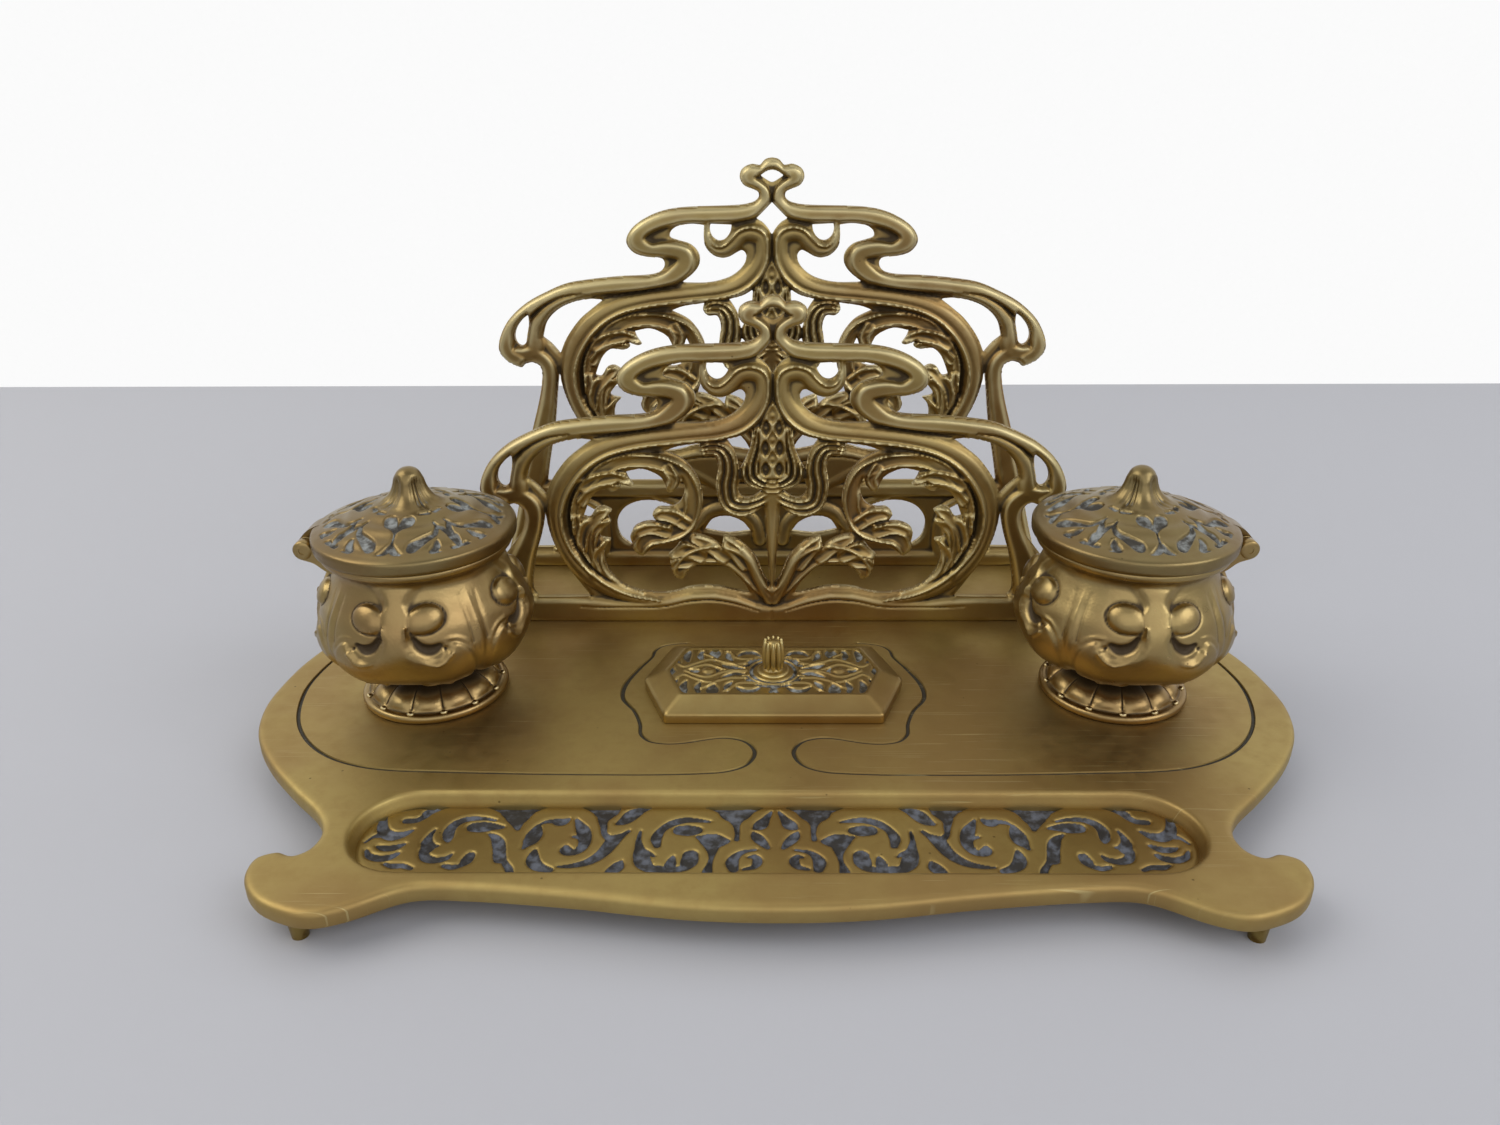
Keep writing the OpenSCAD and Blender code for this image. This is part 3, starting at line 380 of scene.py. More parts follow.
class Shape:
    """Points and faces gathered for one piece, in millimetres."""

    def __init__(self):
        self.points, self.faces, self.count = [], [], 0

    def add(self, points, faces):
        points = np.asarray(points, float)
        first = self.count
        self.points.append(points)
        self.faces += [[first + i for i in face] for face in faces]
        self.count += len(points)
        return first

    def rings(self, rings, closed=True, flip=False):
        """A skin over rings of equal counts. It faces out if they turn left, from above, and go upwards."""
        n = len(rings[0])
        faces = []
        for k in range(len(rings) - 1):
            for i in range(n if closed else n - 1):
                j = (i + 1) % n
                face = [k * n + i, k * n + j, (k + 1) * n + j, (k + 1) * n + i]
                faces.append(face[::-1] if flip else face)
        return self.add(np.vstack(rings), faces)

    def flat(self, loops, z, up=True):
        """A level face at z to the left of the loops; outer loops turn left, holes turn right."""
        points, edges = [], []
        for loop in loops:
            first = len(points)
            points += [tuple(p[:2]) for p in loop]
            edges += [(first + i, first + (i + 1) % len(loop)) for i in range(len(loop))]
        faces = fill_outline(points, edges)
        if not up:
            faces = [face[::-1] for face in faces]
        self.add([(x, y, z) for x, y in points], faces)

    def caps(self, one, other):
        """Two flat ends. The first faces the way its ring turns, the second the other way."""
        n = len(one)
        self.add(np.vstack([one, other]), [list(range(n)), list(range(2 * n - 1, n - 1, -1))])

    def cast(self, relief, behind, place):
        """A relief with walls and a level back. place makes points of flat points and their heights."""
        flat, heights, faces, rim = trace_field(relief)
        n = len(flat)
        first = self.add(np.vstack([place(flat, heights), place(flat, np.full(n, behind))]), faces)
        self.faces += [[first + b, first + a, first + n + a, first + n + b] for a, b in rim]
        edge = sorted({i for pair in rim for i in pair})
        number = {v: k for k, v in enumerate(edge)}
        cover = fill_outline(flat[edge], [(number[a], number[b]) for a, b in rim])
        self.faces += [[first + n + edge[i] for i in face[::-1]] for face in cover]

    def moved(self, x, y, mirrored=False):
        """A copy in another place. A mirrored one is turned into its mirror image first."""
        other = Shape()
        points = np.vstack(self.points) * [-1 if mirrored else 1, 1, 1]
        other.add(points + [x, y, 0], [face[::-1] for face in self.faces] if mirrored else self.faces)
        return other

    def piece(self, name, finish, sharp):
        """The finished object: doubles merged, shaded smooth up to the sharp angle, with its finish."""
        mesh = bpy.data.meshes.new(name)
        mesh.from_pydata((np.vstack(self.points) * MM).tolist(), [], self.faces)
        piece = placed(name, mesh)
        merge_doubles(mesh)
        mesh.shade_smooth()
        mesh.set_sharp_from_angle(angle=math.radians(sharp))
        mesh.materials.append(finish)
        return piece


def placed(name, data):
    """A new object of the scene."""
    made = bpy.data.objects.new(name, data)
    bpy.context.scene.collection.objects.link(made)
    return made


def merge_doubles(mesh):
    """Joins points that lie close together, and drops those that no face uses."""
    work = bmesh.new()
    work.from_mesh(mesh)
    bmesh.ops.remove_doubles(work, verts=work.verts, dist=CLOSE * MM)
    loose = [v for v in work.verts if not v.link_faces]
    bmesh.ops.delete(work, geom=loose, context="VERTS")
    work.to_mesh(mesh)
    work.free()


def mark_wear(piece, full, rounds=14, level=None, sunk=None):
    """Stores as "proud" how each point stands to its surroundings: 0 in a hollow, 0.5 level, 1 on a crest.
    Points on long edges are level. Two functions of the points, in millimetres, add what neighbours don't
    tell: level says where the casting is plain, and sunk how far, from 0 to 1, a point is darkened as in a
    hollow: by its depth in a pattern, and on the pedestals by its height towards the bowl."""
    mesh = piece.data
    n = len(mesh.vertices)
    co, normal = np.empty(n * 3), np.empty(n * 3)
    mesh.vertices.foreach_get("co", co)
    mesh.vertex_normals.foreach_get("vector", normal)
    co, normal = co.reshape(n, 3) / MM, normal.reshape(n, 3)
    ends = np.empty(len(mesh.edges) * 2, int)
    mesh.edges.foreach_get("vertices", ends)
    ends = ends.reshape(-1, 2)
    long = np.linalg.norm(co[ends[:, 0]] - co[ends[:, 1]], axis=1) > LONG_EDGE
    plain = np.bincount(ends[long].ravel(), minlength=n) > 0
    if level:
        plain |= level(co)
    a, b = ends[~long].T
    count = np.maximum(np.bincount(a, minlength=n) + np.bincount(b, minlength=n), 1)
    mean = co.copy()
    for _ in range(rounds):
        sums = [np.bincount(a, mean[b, k], n) + np.bincount(b, mean[a, k], n) for k in range(3)]
        mean = np.stack(sums, 1) / count[:, None]
    proud = np.where(plain, 0.5, np.clip(0.5 + ((co - mean) * normal).sum(1) / (2 * full), 0, 1))
    if sunk:
        proud = np.minimum(proud, 0.5 - 0.5 * sunk(co))
    mesh.attributes.new("proud", "FLOAT", "POINT").data.foreach_set("value", proud)


def stands_for(piece, node, body):
    """The piece takes the place of the node and moves with the body."""
    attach(piece, body)
    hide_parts(node)


# ---------------------------------------------------------------- finishes


def paint(hex_colour):
    """A colour written as sRGB hex, as linear light."""
    parts = [int(hex_colour[i:i + 2], 16) / 255 for i in (1, 3, 5)]
    return [c / 12.92 if c <= 0.04045 else ((c + 0.055) / 1.055) ** 2.4 for c in parts] + [1.0]


def add(tree, kind, settings=None, inputs=None, gives=None):
    """Adds a node with its settings and returns the output it gives. Each input is a value, or the socket
    that feeds it. A kind without "Node" in its name is a shader node."""
    made = tree.nodes.new(kind if "Node" in kind else "ShaderNode" + kind)
    for key, value in (settings or {}).items():
        setattr(made, key, value)
    for key, value in (inputs or {}).items():
        if isinstance(value, bpy.types.NodeSocket):
            tree.links.new(value, made.inputs[key])
        else:
            made.inputs[key].default_value = value
    return made if gives is None else made.outputs[gives]


MIX = {"data_type": "RGBA", "blend_type": "MIX"}
SMOOTH = {"interpolation_type": "SMOOTHSTEP"}
PLUS, MINUS, TIMES, MOST = ({"operation": name} for name in ("ADD", "SUBTRACT", "MULTIPLY", "MAXIMUM"))


def start_finish(name):
    """A new material, its node tree, and the place on the object as seen by its nodes."""
    finish = bpy.data.materials.new(name)
    finish.use_nodes = True
    tree = finish.node_tree
    tree.nodes.clear()
    return finish, tree, add(tree, "TexCoord", gives="Object")


def aged_brass(name, body, warm, crest, hollow, residue=None, rough=0.4, worn=0.55, stain=(0.42, 0.14),
               hair=0.0, grain=0.35):
    """Cast brass that was polished for years: flats went a soft olive gold, crests stay paler, and hollows
    keep brown tarnish, or the dried polish given as residue."""
    finish, tree, place = start_finish(name)
    proud = add(tree, "Attribute", {"attribute_name": "proud"}, gives="Fac")
    # clouds of tarnish 35 mm across, mottling of 5 mm, casting grain of 0.7 mm
    cloud = add(tree, "TexNoise", None, {"Vector": place, "Scale": 1 / (35 * MM), "Detail": 4.0}, "Fac")
    mottle = add(tree, "TexNoise", None,
                 {"Vector": place, "Scale": 1 / (5 * MM), "Detail": 5.0, "Roughness": 0.62}, "Fac")
    sand = add(tree, "TexNoise", None, {"Vector": place, "Scale": 1 / (0.7 * MM), "Detail": 3.0}, "Fac")
    # pits 0.4 mm wide, about 9 mm apart
    near_pit = add(tree, "TexVoronoi", None, {"Vector": place, "Scale": 1 / (9 * MM)}, "Distance")
    pit = add(tree, "MapRange", SMOOTH, {"Value": near_pit, "From Min": 0.045, "From Max": 0.02,
                                         "To Max": 0.5}, 0)

    tarnish = add(tree, "MapRange", SMOOTH, {"Value": cloud, "From Min": 0.36, "From Max": 0.68}, 0)
    spots = add(tree, "MapRange", SMOOTH, {"Value": mottle, "From Min": 0.42, "From Max": 0.75,
                                           "To Max": 0.35}, 0)
    # wear and dirt end raggedly, by a tenth of their depth
    ragged = add(tree, "MapRange", None, {"Value": mottle, "From Min": 0.2, "From Max": 0.8,
                                          "To Min": -0.06, "To Max": 0.06}, 0)
    edge = add(tree, "Math", PLUS, {0: proud, 1: ragged}, 0)
    bright = add(tree, "MapRange", SMOOTH, {"Value": edge, "From Min": 0.56, "From Max": 0.9,
                                            "To Max": worn}, 0)
    deep = add(tree, "MapRange", SMOOTH, {"Value": edge, "From Min": stain[0], "From Max": stain[1],
                                          "To Max": 0.94}, 0)
    tone = paint(body)
    for amount, over in ((tarnish, warm), (spots, warm), (bright, crest), (deep, hollow), (pit, "#2a2013")):
        tone = add(tree, "Mix", MIX, {0: amount, 6: tone, 7: paint(over)}, 2)
    metal = add(tree, "MapRange", None, {"Value": deep, "To Min": 1.0, "To Max": 0.4}, 0)
    dull = add(tree, "MapRange", None, {"Value": deep, "To Min": rough, "To Max": 0.62}, 0)
    streak = add(tree, "MapRange", None, {"Value": mottle, "From Min": 0.3, "From Max": 0.7,
                                          "To Min": -0.04, "To Max": 0.07}, 0)
    dull = add(tree, "Math", PLUS, {0: dull, 1: streak}, 0)
    if residue:
        # dried polish lies in the hollows in smears of 3 mm
        crumb = add(tree, "TexNoise", None,
                    {"Vector": place, "Scale": 1 / (3 * MM), "Detail": 3.0, "Roughness": 0.55}, "Fac")
        crumb = add(tree, "MapRange", SMOOTH, {"Value": crumb, "From Min": 0.4, "From Max": 0.68,
                                               "To Max": 0.9}, 0)
        sunk = add(tree, "MapRange", SMOOTH, {"Value": edge, "From Min": 0.42, "From Max": 0.22}, 0)
        chalk = add(tree, "Math", TIMES, {0: sunk, 1: crumb}, 0)
        tone = add(tree, "Mix", MIX, {0: chalk, 6: tone, 7: paint(residue)}, 2)
        bare = add(tree, "MapRange", None, {"Value": chalk, "To Min": 1.0, "To Max": 0.0}, 0)
        metal = add(tree, "Math", TIMES, {0: metal, 1: bare}, 0)

    rise = add(tree, "Math", TIMES, {0: sand, 1: grain}, 0)
    swell = add(tree, "Math", TIMES, {0: mottle, 1: 0.5 * grain}, 0)
    rise = add(tree, "Math", PLUS, {0: rise, 1: swell}, 0)
    rise = add(tree, "Math", MINUS, {0: rise, 1: pit}, 0)
    if hair:
        lines = None
        # hair scratches in three directions, drawn 0.45 mm apart so that they show
        for turn, reach in ((0.5, 26), (-0.75, 19), (1.35, 33)):
            fine = (1 / (reach * MM), 1 / (0.45 * MM), 1 / (30 * MM))
            along = add(tree, "Mapping", None, {"Vector": place, "Rotation": (0, 0, turn), "Scale": fine}, 0)
            line = add(tree, "TexNoise", None, {"Vector": along, "Scale": 1.0, "Detail": 1.0}, "Fac")
            line = add(tree, "MapRange", SMOOTH, {"Value": line, "From Min": 0.7, "From Max": 0.76}, 0)
            lines = line if lines is None else add(tree, "Math", MOST, {0: lines, 1: line}, 0)
        patch = add(tree, "MapRange", SMOOTH, {"Value": cloud, "From Min": 0.5, "From Max": 0.66,
                                               "To Min": 0.15 * hair, "To Max": hair}, 0)
        lines = add(tree, "Math", TIMES, {0: lines, 1: patch}, 0)
        tone = add(tree, "Mix", MIX, {0: lines, 6: tone, 7: paint(crest)}, 2)
        rise = add(tree, "Math", MINUS, {0: rise, 1: lines}, 0)
    bump = add(tree, "Bump", None, {"Strength": 0.5, "Distance": 0.12 * MM, "Height": rise}, 0)
    shader = add(tree, "BsdfPrincipled", None,
                 {"Base Color": tone, "Metallic": metal, "Roughness": dull, "Normal": bump}, 0)
    add(tree, "OutputMaterial", None, {"Surface": shader})
    return finish


# Sand-cast brass of the letter rack: satin olive-gold faces, brown where strands meet.
rack_brass = aged_brass("cast_brass_satin", "#a08b58", "#8c7045", "#d8cb9c", "#34260f", rough=0.4,
                        stain=(0.45, 0.2))
# The tray's top: rolled and hand-rubbed brass, even, with hair scratches and a few pits.
tray_brass = aged_brass("hand_rubbed_brass", "#b09a60", "#a08553", "#d6c891", "#33312c", rough=0.5,
                        stain=(0.3, 0.08), hair=0.4, grain=0.2)
# Brass of the ink pots: coppery casting skin in the grounds, worn bright on the swellings.
pot_brass = aged_brass("cast_brass_coppery", "#a08b5c", "#92784f", "#e2d4a6", "#33240f", rough=0.31,
                       worn=0.85, grain=0.6)
# Brass lids with white polish dried in the sunk pattern.
lid_brass = aged_brass("cast_brass_with_dried_polish", "#867650", "#7c6642", "#d0c18c", "#3a3834",
                       residue="#909390", rough=0.34, stain=(0.42, 0.2))
# The stamp box's lid: the same, rubbed brighter.
stamp_brass = aged_brass("cast_brass_rubbed_lid", "#a8925c", "#94794a", "#dac98f", "#38342c",
                         residue="#909390", rough=0.36, stain=(0.42, 0.2))
# The channel's sunk ground: blue-grey tarnish under dried polish.
pen_brass = aged_brass("cast_brass_blue_tarnish", "#a08a52", "#8f7544", "#dccb94", "#26282d",
                       residue="#5f636c", rough=0.46, stain=(0.45, 0.28))


def turned_metal(name, colour, shade, rough):
    """Metal turned on a lathe: fine rings 0.3 mm apart, lightly stained."""
    finish, tree, place = start_finish(name)
    stain = add(tree, "TexNoise", None, {"Vector": place, "Scale": 1 / (3 * MM), "Detail": 4.0}, "Fac")
    fine = (1 / (6 * MM), 1 / (6 * MM), 1 / (0.3 * MM))
    upwards = add(tree, "Mapping", None, {"Vector": place, "Scale": fine}, 0)
    rings = add(tree, "TexNoise", None, {"Vector": upwards, "Scale": 1.0}, "Fac")
    spots = add(tree, "MapRange", SMOOTH, {"Value": stain, "From Min": 0.45, "From Max": 0.7}, 0)
    tone = add(tree, "Mix", MIX, {0: spots, 6: paint(colour), 7: paint(shade)}, 2)
    dull = add(tree, "MapRange", None, {"Value": stain, "To Min": rough - 0.1, "To Max": rough + 0.1}, 0)
    bump = add(tree, "Bump", None, {"Strength": 0.35, "Distance": 0.05 * MM, "Height": rings}, 0)
    shader = add(tree, "BsdfPrincipled", None,
                 {"Base Color": tone, "Metallic": 1.0, "Roughness": dull, "Normal": bump}, 0)
    add(tree, "OutputMaterial", None, {"Surface": shader})
    return finish


# Turned brass of the pegs, pins and the lid's nut.
turned_brass = turned_metal("turned_brass", "#96804a", "#6e5427", 0.4)
# Mild steel of the bolts, washers, nuts and screws, dull with age.
old_steel = turned_metal("dull_mild_steel", "#8b8b88", "#5b5148", 0.45)


def make_glass():
    """Pressed clear glass of the ink liners, faintly green, with a wavy skin of 7 mm waves."""
    finish, tree, place = start_finish("pressed_clear_glass")
    wave = add(tree, "TexNoise", None, {"Vector": place, "Scale": 1 / (7 * MM), "Detail": 2.0}, "Fac")
    thick = add(tree, "MapRange", SMOOTH, {"Value": wave, "From Min": 0.4, "From Max": 0.7}, 0)
    film = add(tree, "Mix", MIX, {0: thick, 6: paint("#e6efe9"), 7: paint("#cfdcd6")}, 2)
    bump = add(tree, "Bump", None, {"Strength": 0.3, "Distance": 0.3 * MM, "Height": wave}, 0)
    shader = add(tree, "BsdfPrincipled", None, {
        "Base Color": film, "Roughness": 0.06, "IOR": 1.52, "Transmission Weight": 1.0, "Normal": bump}, 0)
    add(tree, "OutputMaterial", None, {"Surface": shader})
    return finish


liner_glass = make_glass()

# ---------------------------------------------------------------- letter rack

# The plate's outer edge, right half, x and height above the plate's foot: a knopped crest, a ribbon that
# folds back on itself, and an outer lobe that hooks over the leg. In the outlines of the plates, here and
# below, each stretch starts where the one before it ends.
CREST = [[[0, 102.1]], [[2, 101.6], [3.6, 99.9]],
    [[6.5, 100.2], [9.2, 98.7], [9.8, 96.5], [8.6, 94.3], [5.8, 93.1], [4.2, 92.2], [4.1, 90.6],
     [5.6, 89.3], [10, 88.4], [26.7, 87.8], [33, 86.9], [38.5, 84.9], [42.9, 82], [45, 79], [45, 76.6],
     [43.1, 74.3], [40, 73.2], [36.7, 72.9], [34.2, 72.4], [33.5, 70.6], [34.8, 68.5], [38.4, 67.4],
     [48, 66.9], [58, 65.9], [65, 64.7], [71.7, 62], [78.3, 58.5], [84, 53.5], [87.3, 47.8], [88, 43.5],
     [86, 40.3], [82.6, 38.4], [81, 38]]]
FRONT_SIDE = [[[79.9, 39.1], [77.8, 39.4], [76, 37.8], [75.9, 34], [77.3, 29.5], [80.6, 25], [83.7, 20.7],
     [86.4, 14], [87.8, 7], [88, 0]], [[-6, 0], [-6, 102.1]]]
REAR_SIDE = [[[79.9, 39.1], [77.4, 39.6], [75.2, 38.4], [74.8, 35], [76.2, 28], [79.8, 16], [83.6, 2],
     [88, -16], [93, -REAR_LIFT]], [[-6, -REAR_LIFT], [-6, 102.1]]]
OPENINGS = {
    "hook": [[[12.9, 80.3], [14.6, 78.2], [16.6, 77.8], [18.4, 79], [19.2, 81.2], [19, 82.9]],
     [[12.4, 82.6]]],
    "fold": [[[25, 82.9], [29, 82.3], [31.2, 80.8], [31.6, 78.9], [29, 77.9], [25.2, 76.6], [22.8, 74],
      [22.6, 71], [24.3, 68.3], [28.6, 64.9]], [[20, 64.9], [14, 66.3], [10.6, 68.3], [8.4, 71], [8, 73.6],
      [9.2, 74.9], [11, 74.2], [13.2, 73], [15.5, 72.6], [18.3, 73.5], [20.6, 76], [21.1, 79],
      [20.9, 82.6]]],
    "shoulder": [[[58, 60], [63.5, 58.9], [68.3, 56.5], [72, 52.6], [73.6, 47.8]],
     [[71, 45.6], [68.4, 42.4]], [[65.9, 47.6], [61.5, 53.3], [57, 57], [53.4, 59.7]]],
    "lobe": [[[79.6, 53.6], [81.8, 50.8], [82.6, 48], [82, 45.8], [80.6, 45], [79.2, 46], [78.5, 48.6],
      [77.8, 51.6], [77.6, 55.2]]],
    "petal": [[[9, 61], [13.6, 59.8]], [[12.4, 58], [10.9, 55.3], [10.2, 52], [9.8, 50]],
     [[8.3, 53], [6.5, 57.6], [5.9, 62.8]]],
    "calyx": [[[10.3, 44.2], [9, 41.6], [5.9, 41.6], [2.9, 43.8]], [[5.4, 44.5], [7.8, 45.6], [9.6, 47.4]]],
    "tulip": [[[28, 57.6], [21.4, 58.6]], [[21.8, 56.5], [20.3, 54.6], [17.4, 54.5], [16.2, 51.3],
      [16.7, 47.6], [16.9, 44], [15.2, 38.2], [11, 35.3], [6.2, 36], [2.5, 38.8]], [[0.8, 12.6]],
     [[2.5, 15.4], [4.7, 21], [7, 24.2], [9.8, 26.9], [14.8, 28.9]], [[15.5, 25.2]],
     [[17.8, 27.2], [21.6, 28.9], [24.2, 29.3]], [[22.8, 33.5], [21.2, 38.5], [21.1, 43], [22.5, 48],
      [26.4, 53.2], [32, 56.2]]],
    "spiral": [[[35, 49], [39, 50.5], [44, 49.7]], [[43.4, 47.9], [41.7, 45.3]], [[44, 45.3], [46.3, 46.3]],
     [[45.7, 44.7], [47.7, 43.7], [51.7, 44], [54.3, 42], [56, 39], [57.5, 35.2]],
     [[55.5, 35], [53.5, 37.8], [51.3, 38.5], [48.8, 37.2]],
     [[50, 35.3], [49.3, 33.4], [51.2, 31.6], [52.9, 28.7], [49.4, 27.6]],
     [[51.2, 25.5], [51.9, 22], [50.9, 17.6], [47.8, 13.4], [43, 10.6], [36, 9.3], [31, 9.6], [25, 11.3],
      [18, 11.7], [12, 10.3], [7, 9.4]], [[8.6, 12.4], [11, 15.3], [13.7, 18], [17.7, 19.3], [21.7, 19.3],
      [25, 18], [28, 13.8]], [[30, 15], [31.2, 18], [31.5, 20.7], [32, 22.5]],
     [[29.8, 24.6], [28.4, 26.4], [27.2, 27.2]], [[32.3, 26], [36.3, 24.7], [40.2, 22]],
     [[42.2, 23.2], [43, 25.4], [42.4, 27.6], [43, 29.8], [41.7, 32], [38.3, 33.4], [35.2, 33.4]],
     [[36.4, 36], [34.5, 38.1], [31.5, 38.2], [28.6, 39.3], [26.8, 42], [26.4, 45], [27.4, 47.6]],
     [[28.3, 45], [30, 43.4], [31.6, 43.2], [32, 45], [33.2, 47.6]]],
    "crest": [[[-1.8, 98.2], [0, 98.7], [1.8, 98.2], [3.6, 97]],
     [[1.8, 95.8], [0, 95], [-1.8, 95.8], [-3.6, 97]]],
    "waist": [[[-2.2, 87], [0, 89.2]], [[2.2, 87], [4.9, 84.4]],
     [[2.6, 83], [0.9, 81], [0, 79.6], [-0.9, 81], [-2.6, 83], [-4.9, 84.4]]]}
FRONT_OPENING = [[[69.6, 34], [70.9, 29], [73, 22.7], [74.6, 14.8], [74.9, 10.6], [73.6, 8.3]], [[57, 8.3]],
    [[60.6, 13.8], [64.8, 20.6], [67.4, 27], [68.7, 33], [69, 37.6]]]
REAR_OPENINGS = [[[[70.2, 30], [72, 18], [74.6, 6], [76, -1.4]], [[33, -1.4]],
     [[30.6, 0.6], [33, 4], [38, 5.6], [44, 5.8], [50, 7.4], [56.4, 11.2], [61.2, 16], [65, 21.8],
      [67.5, 28], [68.7, 33], [69, 37.6]]],
    [[[10, -16.4], [15, -14.4], [20, -15.4], [23, -19.4]], [[15, -20.8], [7, -20]]],
    [[[31, -12.4], [37, -9.2], [44, -8.6], [50, -11], [53, -16], [52, -22], [48, -25.6]],
     [[48.8, -21.6], [46, -18.2], [40, -16.6], [34, -17.6], [28, -17.6]]],
    [[[65, -9.6], [70, -9.4], [76, -10.6], [80.6, -14], [83, -22], [83.6, -26]],
     [[74, -25.6], [66, -23], [61.4, -18], [60, -12]]]]

# Strands of the scrollwork's right half: x, height above the plate's foot, and width.
CREST_RIBBON = [[0, 100.2, 4.4], [3.6, 98.6, 3.6], [6.4, 98.2, 4.8], [7.4, 96.6, 5], [6.4, 95, 4.4],
    [4.2, 93.9, 3.6], [2.4, 92.2, 3.6], [2.3, 90, 3.8], [4.8, 87.4, 4.6], [10.5, 86, 5], [18, 85.7, 5.2],
    [28, 85.3, 5.3], [35.5, 83.8, 5.4], [40.6, 81.2, 5.8], [42, 77.9, 6], [38, 75.2, 4.6], [32, 75.2, 5.2],
    [27.6, 74, 6], [26.8, 71.4, 6.4], [29, 68.6, 6.2], [33, 66.4, 4.6], [40, 65.1, 4.8], [50, 64.3, 5],
    [58, 63.4, 4.6], [65, 62.4, 4.1], [72, 59.9, 4.1], [78.3, 56.2, 4.4], [83, 51.4, 4.8],
    [85.4, 46.3, 5.2], [85, 42.6, 5.4], [82.4, 40.8, 4.8]]
INNER_BRANCH = [[58, 61.6, 2.8], [64.5, 60.2, 3], [70.5, 57.2, 3.4], [74.6, 52.8, 4], [76.1, 49, 4.3],
    [76.2, 44.6, 5.4]]
FRONT_LEG = [[80.6, 42.2, 6], [76.4, 42, 6.2], [72.8, 39, 6.2], [72.2, 34, 6], [74.4, 27.5, 6.4],
    [77.3, 20.5, 8], [80, 12, 10], [81.2, 4, 11.6], [81.5, -0.5, 12.4]]
REAR_LEG = [[80.6, 42.2, 6], [76.4, 42, 6.2], [72.6, 38, 5.6], [72.8, 30, 5.4], [75.6, 18, 6.4], [79, 4, 8],
    [82, -6, 8.4], [86, -18, 8.6], [88.4, -33, 9]]
GREAT_SCROLL = [[20.4, 82.6, 2.6], [20.1, 79.6, 2.6], [19.2, 76.8, 3], [17.2, 75.2, 4], [14.6, 75.3, 4.6],
    [12, 77.2, 4.8], [9.4, 79.7, 5], [6.2, 80.4, 5.4], [3.2, 79, 5], [2.5, 75, 4.4], [3.4, 71, 5],
    [6, 67, 5.6], [10, 63.9, 5.4], [16, 62, 5], [28, 60.7, 4.9], [40, 59.2, 4.9], [49.5, 56.7, 5.2],
    [57, 52, 5.8], [62.6, 45, 6], [65.3, 37.5, 5.4], [65.2, 30.5, 5], [62.9, 23.5, 5.1], [58.2, 16.9, 5.1],
    [52, 11.6, 4.8], [44.5, 8.2, 3.8], [36, 6.6, 2.6]]
SPIRAL = [[59.8, 31.5, 1.6], [60.2, 36, 2.6], [58.8, 41.5, 3.2], [55.3, 46.6, 3.6], [50, 50.9, 4],
    [44, 53.1, 4.2], [38, 53.6, 4.8], [32.2, 52.4, 5.2], [27, 49.5, 5.4], [24.2, 44.5, 5.4],
    [23.8, 39, 5.2], [25.2, 34.4, 5.4], [28.5, 31.2, 5.6], [33, 29.5, 5.4], [37.5, 28.4, 5],
    [40.2, 25.8, 4.2], [40.4, 23.4, 2]]
LEAVES = [[[26.8, 33.4, 4.4], [29.8, 35.4, 4.6], [33.2, 36.2, 3.8], [35.4, 35.4, 2]],
    [[32.6, 30.6, 4.2], [37, 31.6, 3.8], [41, 30.2, 3.4], [42, 28.4, 2]],
    [[56, 45.6, 4.8], [51, 47.6, 4.2], [46.8, 48, 3.6], [43.8, 47, 2.4], [42.4, 45.8, 1.4]],
    [[57.4, 40.2, 3.4], [53.9, 43.8, 3.2], [49.9, 45, 2.6], [47, 44.8, 1.8]],
    [[31, 50.6, 3.6], [29.6, 47.6, 3.2], [30.4, 45, 2.8], [31.2, 43.8, 1.8]],
    [[60.4, 27.4, 2.6], [58, 21, 3], [53.8, 15.4, 3], [47.6, 11.2, 2.8], [41, 8.8, 2.2]],
    [[50.8, 26.9, 1.8], [53, 23.6, 3.4], [54, 19.4, 4], [52, 14.8, 4.2], [47.5, 11.2, 3.4]],
    [[54.6, 16, 4], [57.2, 22, 5], [57.6, 28, 5], [56, 32.6, 4.6], [52.6, 36, 3.6], [49.6, 37.2, 2.2]],
    [[56, 25, 3.6], [54.8, 30, 3.4], [51.6, 32.6, 3], [49.9, 33, 2]], [[60, 30, 3], [59.4, 35, 2.6]]]
FOOT_LEAF = [[0, 7.6, 4], [3.2, 11, 4.4], [6, 15, 5.4], [9, 19, 6.8], [12.9, 22, 7], [17, 23.2, 6.6],
    [22, 22.6, 6.2], [26.2, 20.5, 5.4], [28.6, 17.3, 4.2], [28.6, 14.8, 2.4]]
FOOT_LOBES = [[[8.4, 20, 5], [11, 23.6, 4.6], [14.4, 27.6, 2.6]],
    [[15, 22.6, 5], [19.2, 26, 4.6], [23.6, 28, 3]], [[22.4, 22.6, 4.6], [27, 24.6, 4.6], [31, 22.6, 2.6]],
    [[25.4, 20.2, 4], [29, 20, 3.4], [31, 18.2, 2]]]
FOOT_STEM = [[1, 7.5, 3.4], [3, 11.5, 3.4], [5, 16.5, 3.6], [6.9, 21, 3.6], [9, 24, 3]]
OUTER_PETAL = [[0.5, 41.6, 4.4], [4, 39.4, 5], [8.6, 38.2, 5.8], [12.8, 39.6, 6], [14, 45, 6.2],
    [13.2, 50, 6], [13.6, 54, 5.4], [15.6, 56.8, 4.4], [18.8, 57.2, 3.8], [20.8, 56.6, 2.8]]
INNER_PETAL = [[4.4, 62.8, 2.2], [5, 57.8, 3.4], [6.6, 52, 4.8], [6.2, 48, 5], [3.4, 45.8, 4.4], [0, 45.2, 4]]
PISTIL = [[0, 44, 5.4], [0, 36, 4.6], [0, 24, 3.2], [0, 12, 2], [0, 7, 2]]
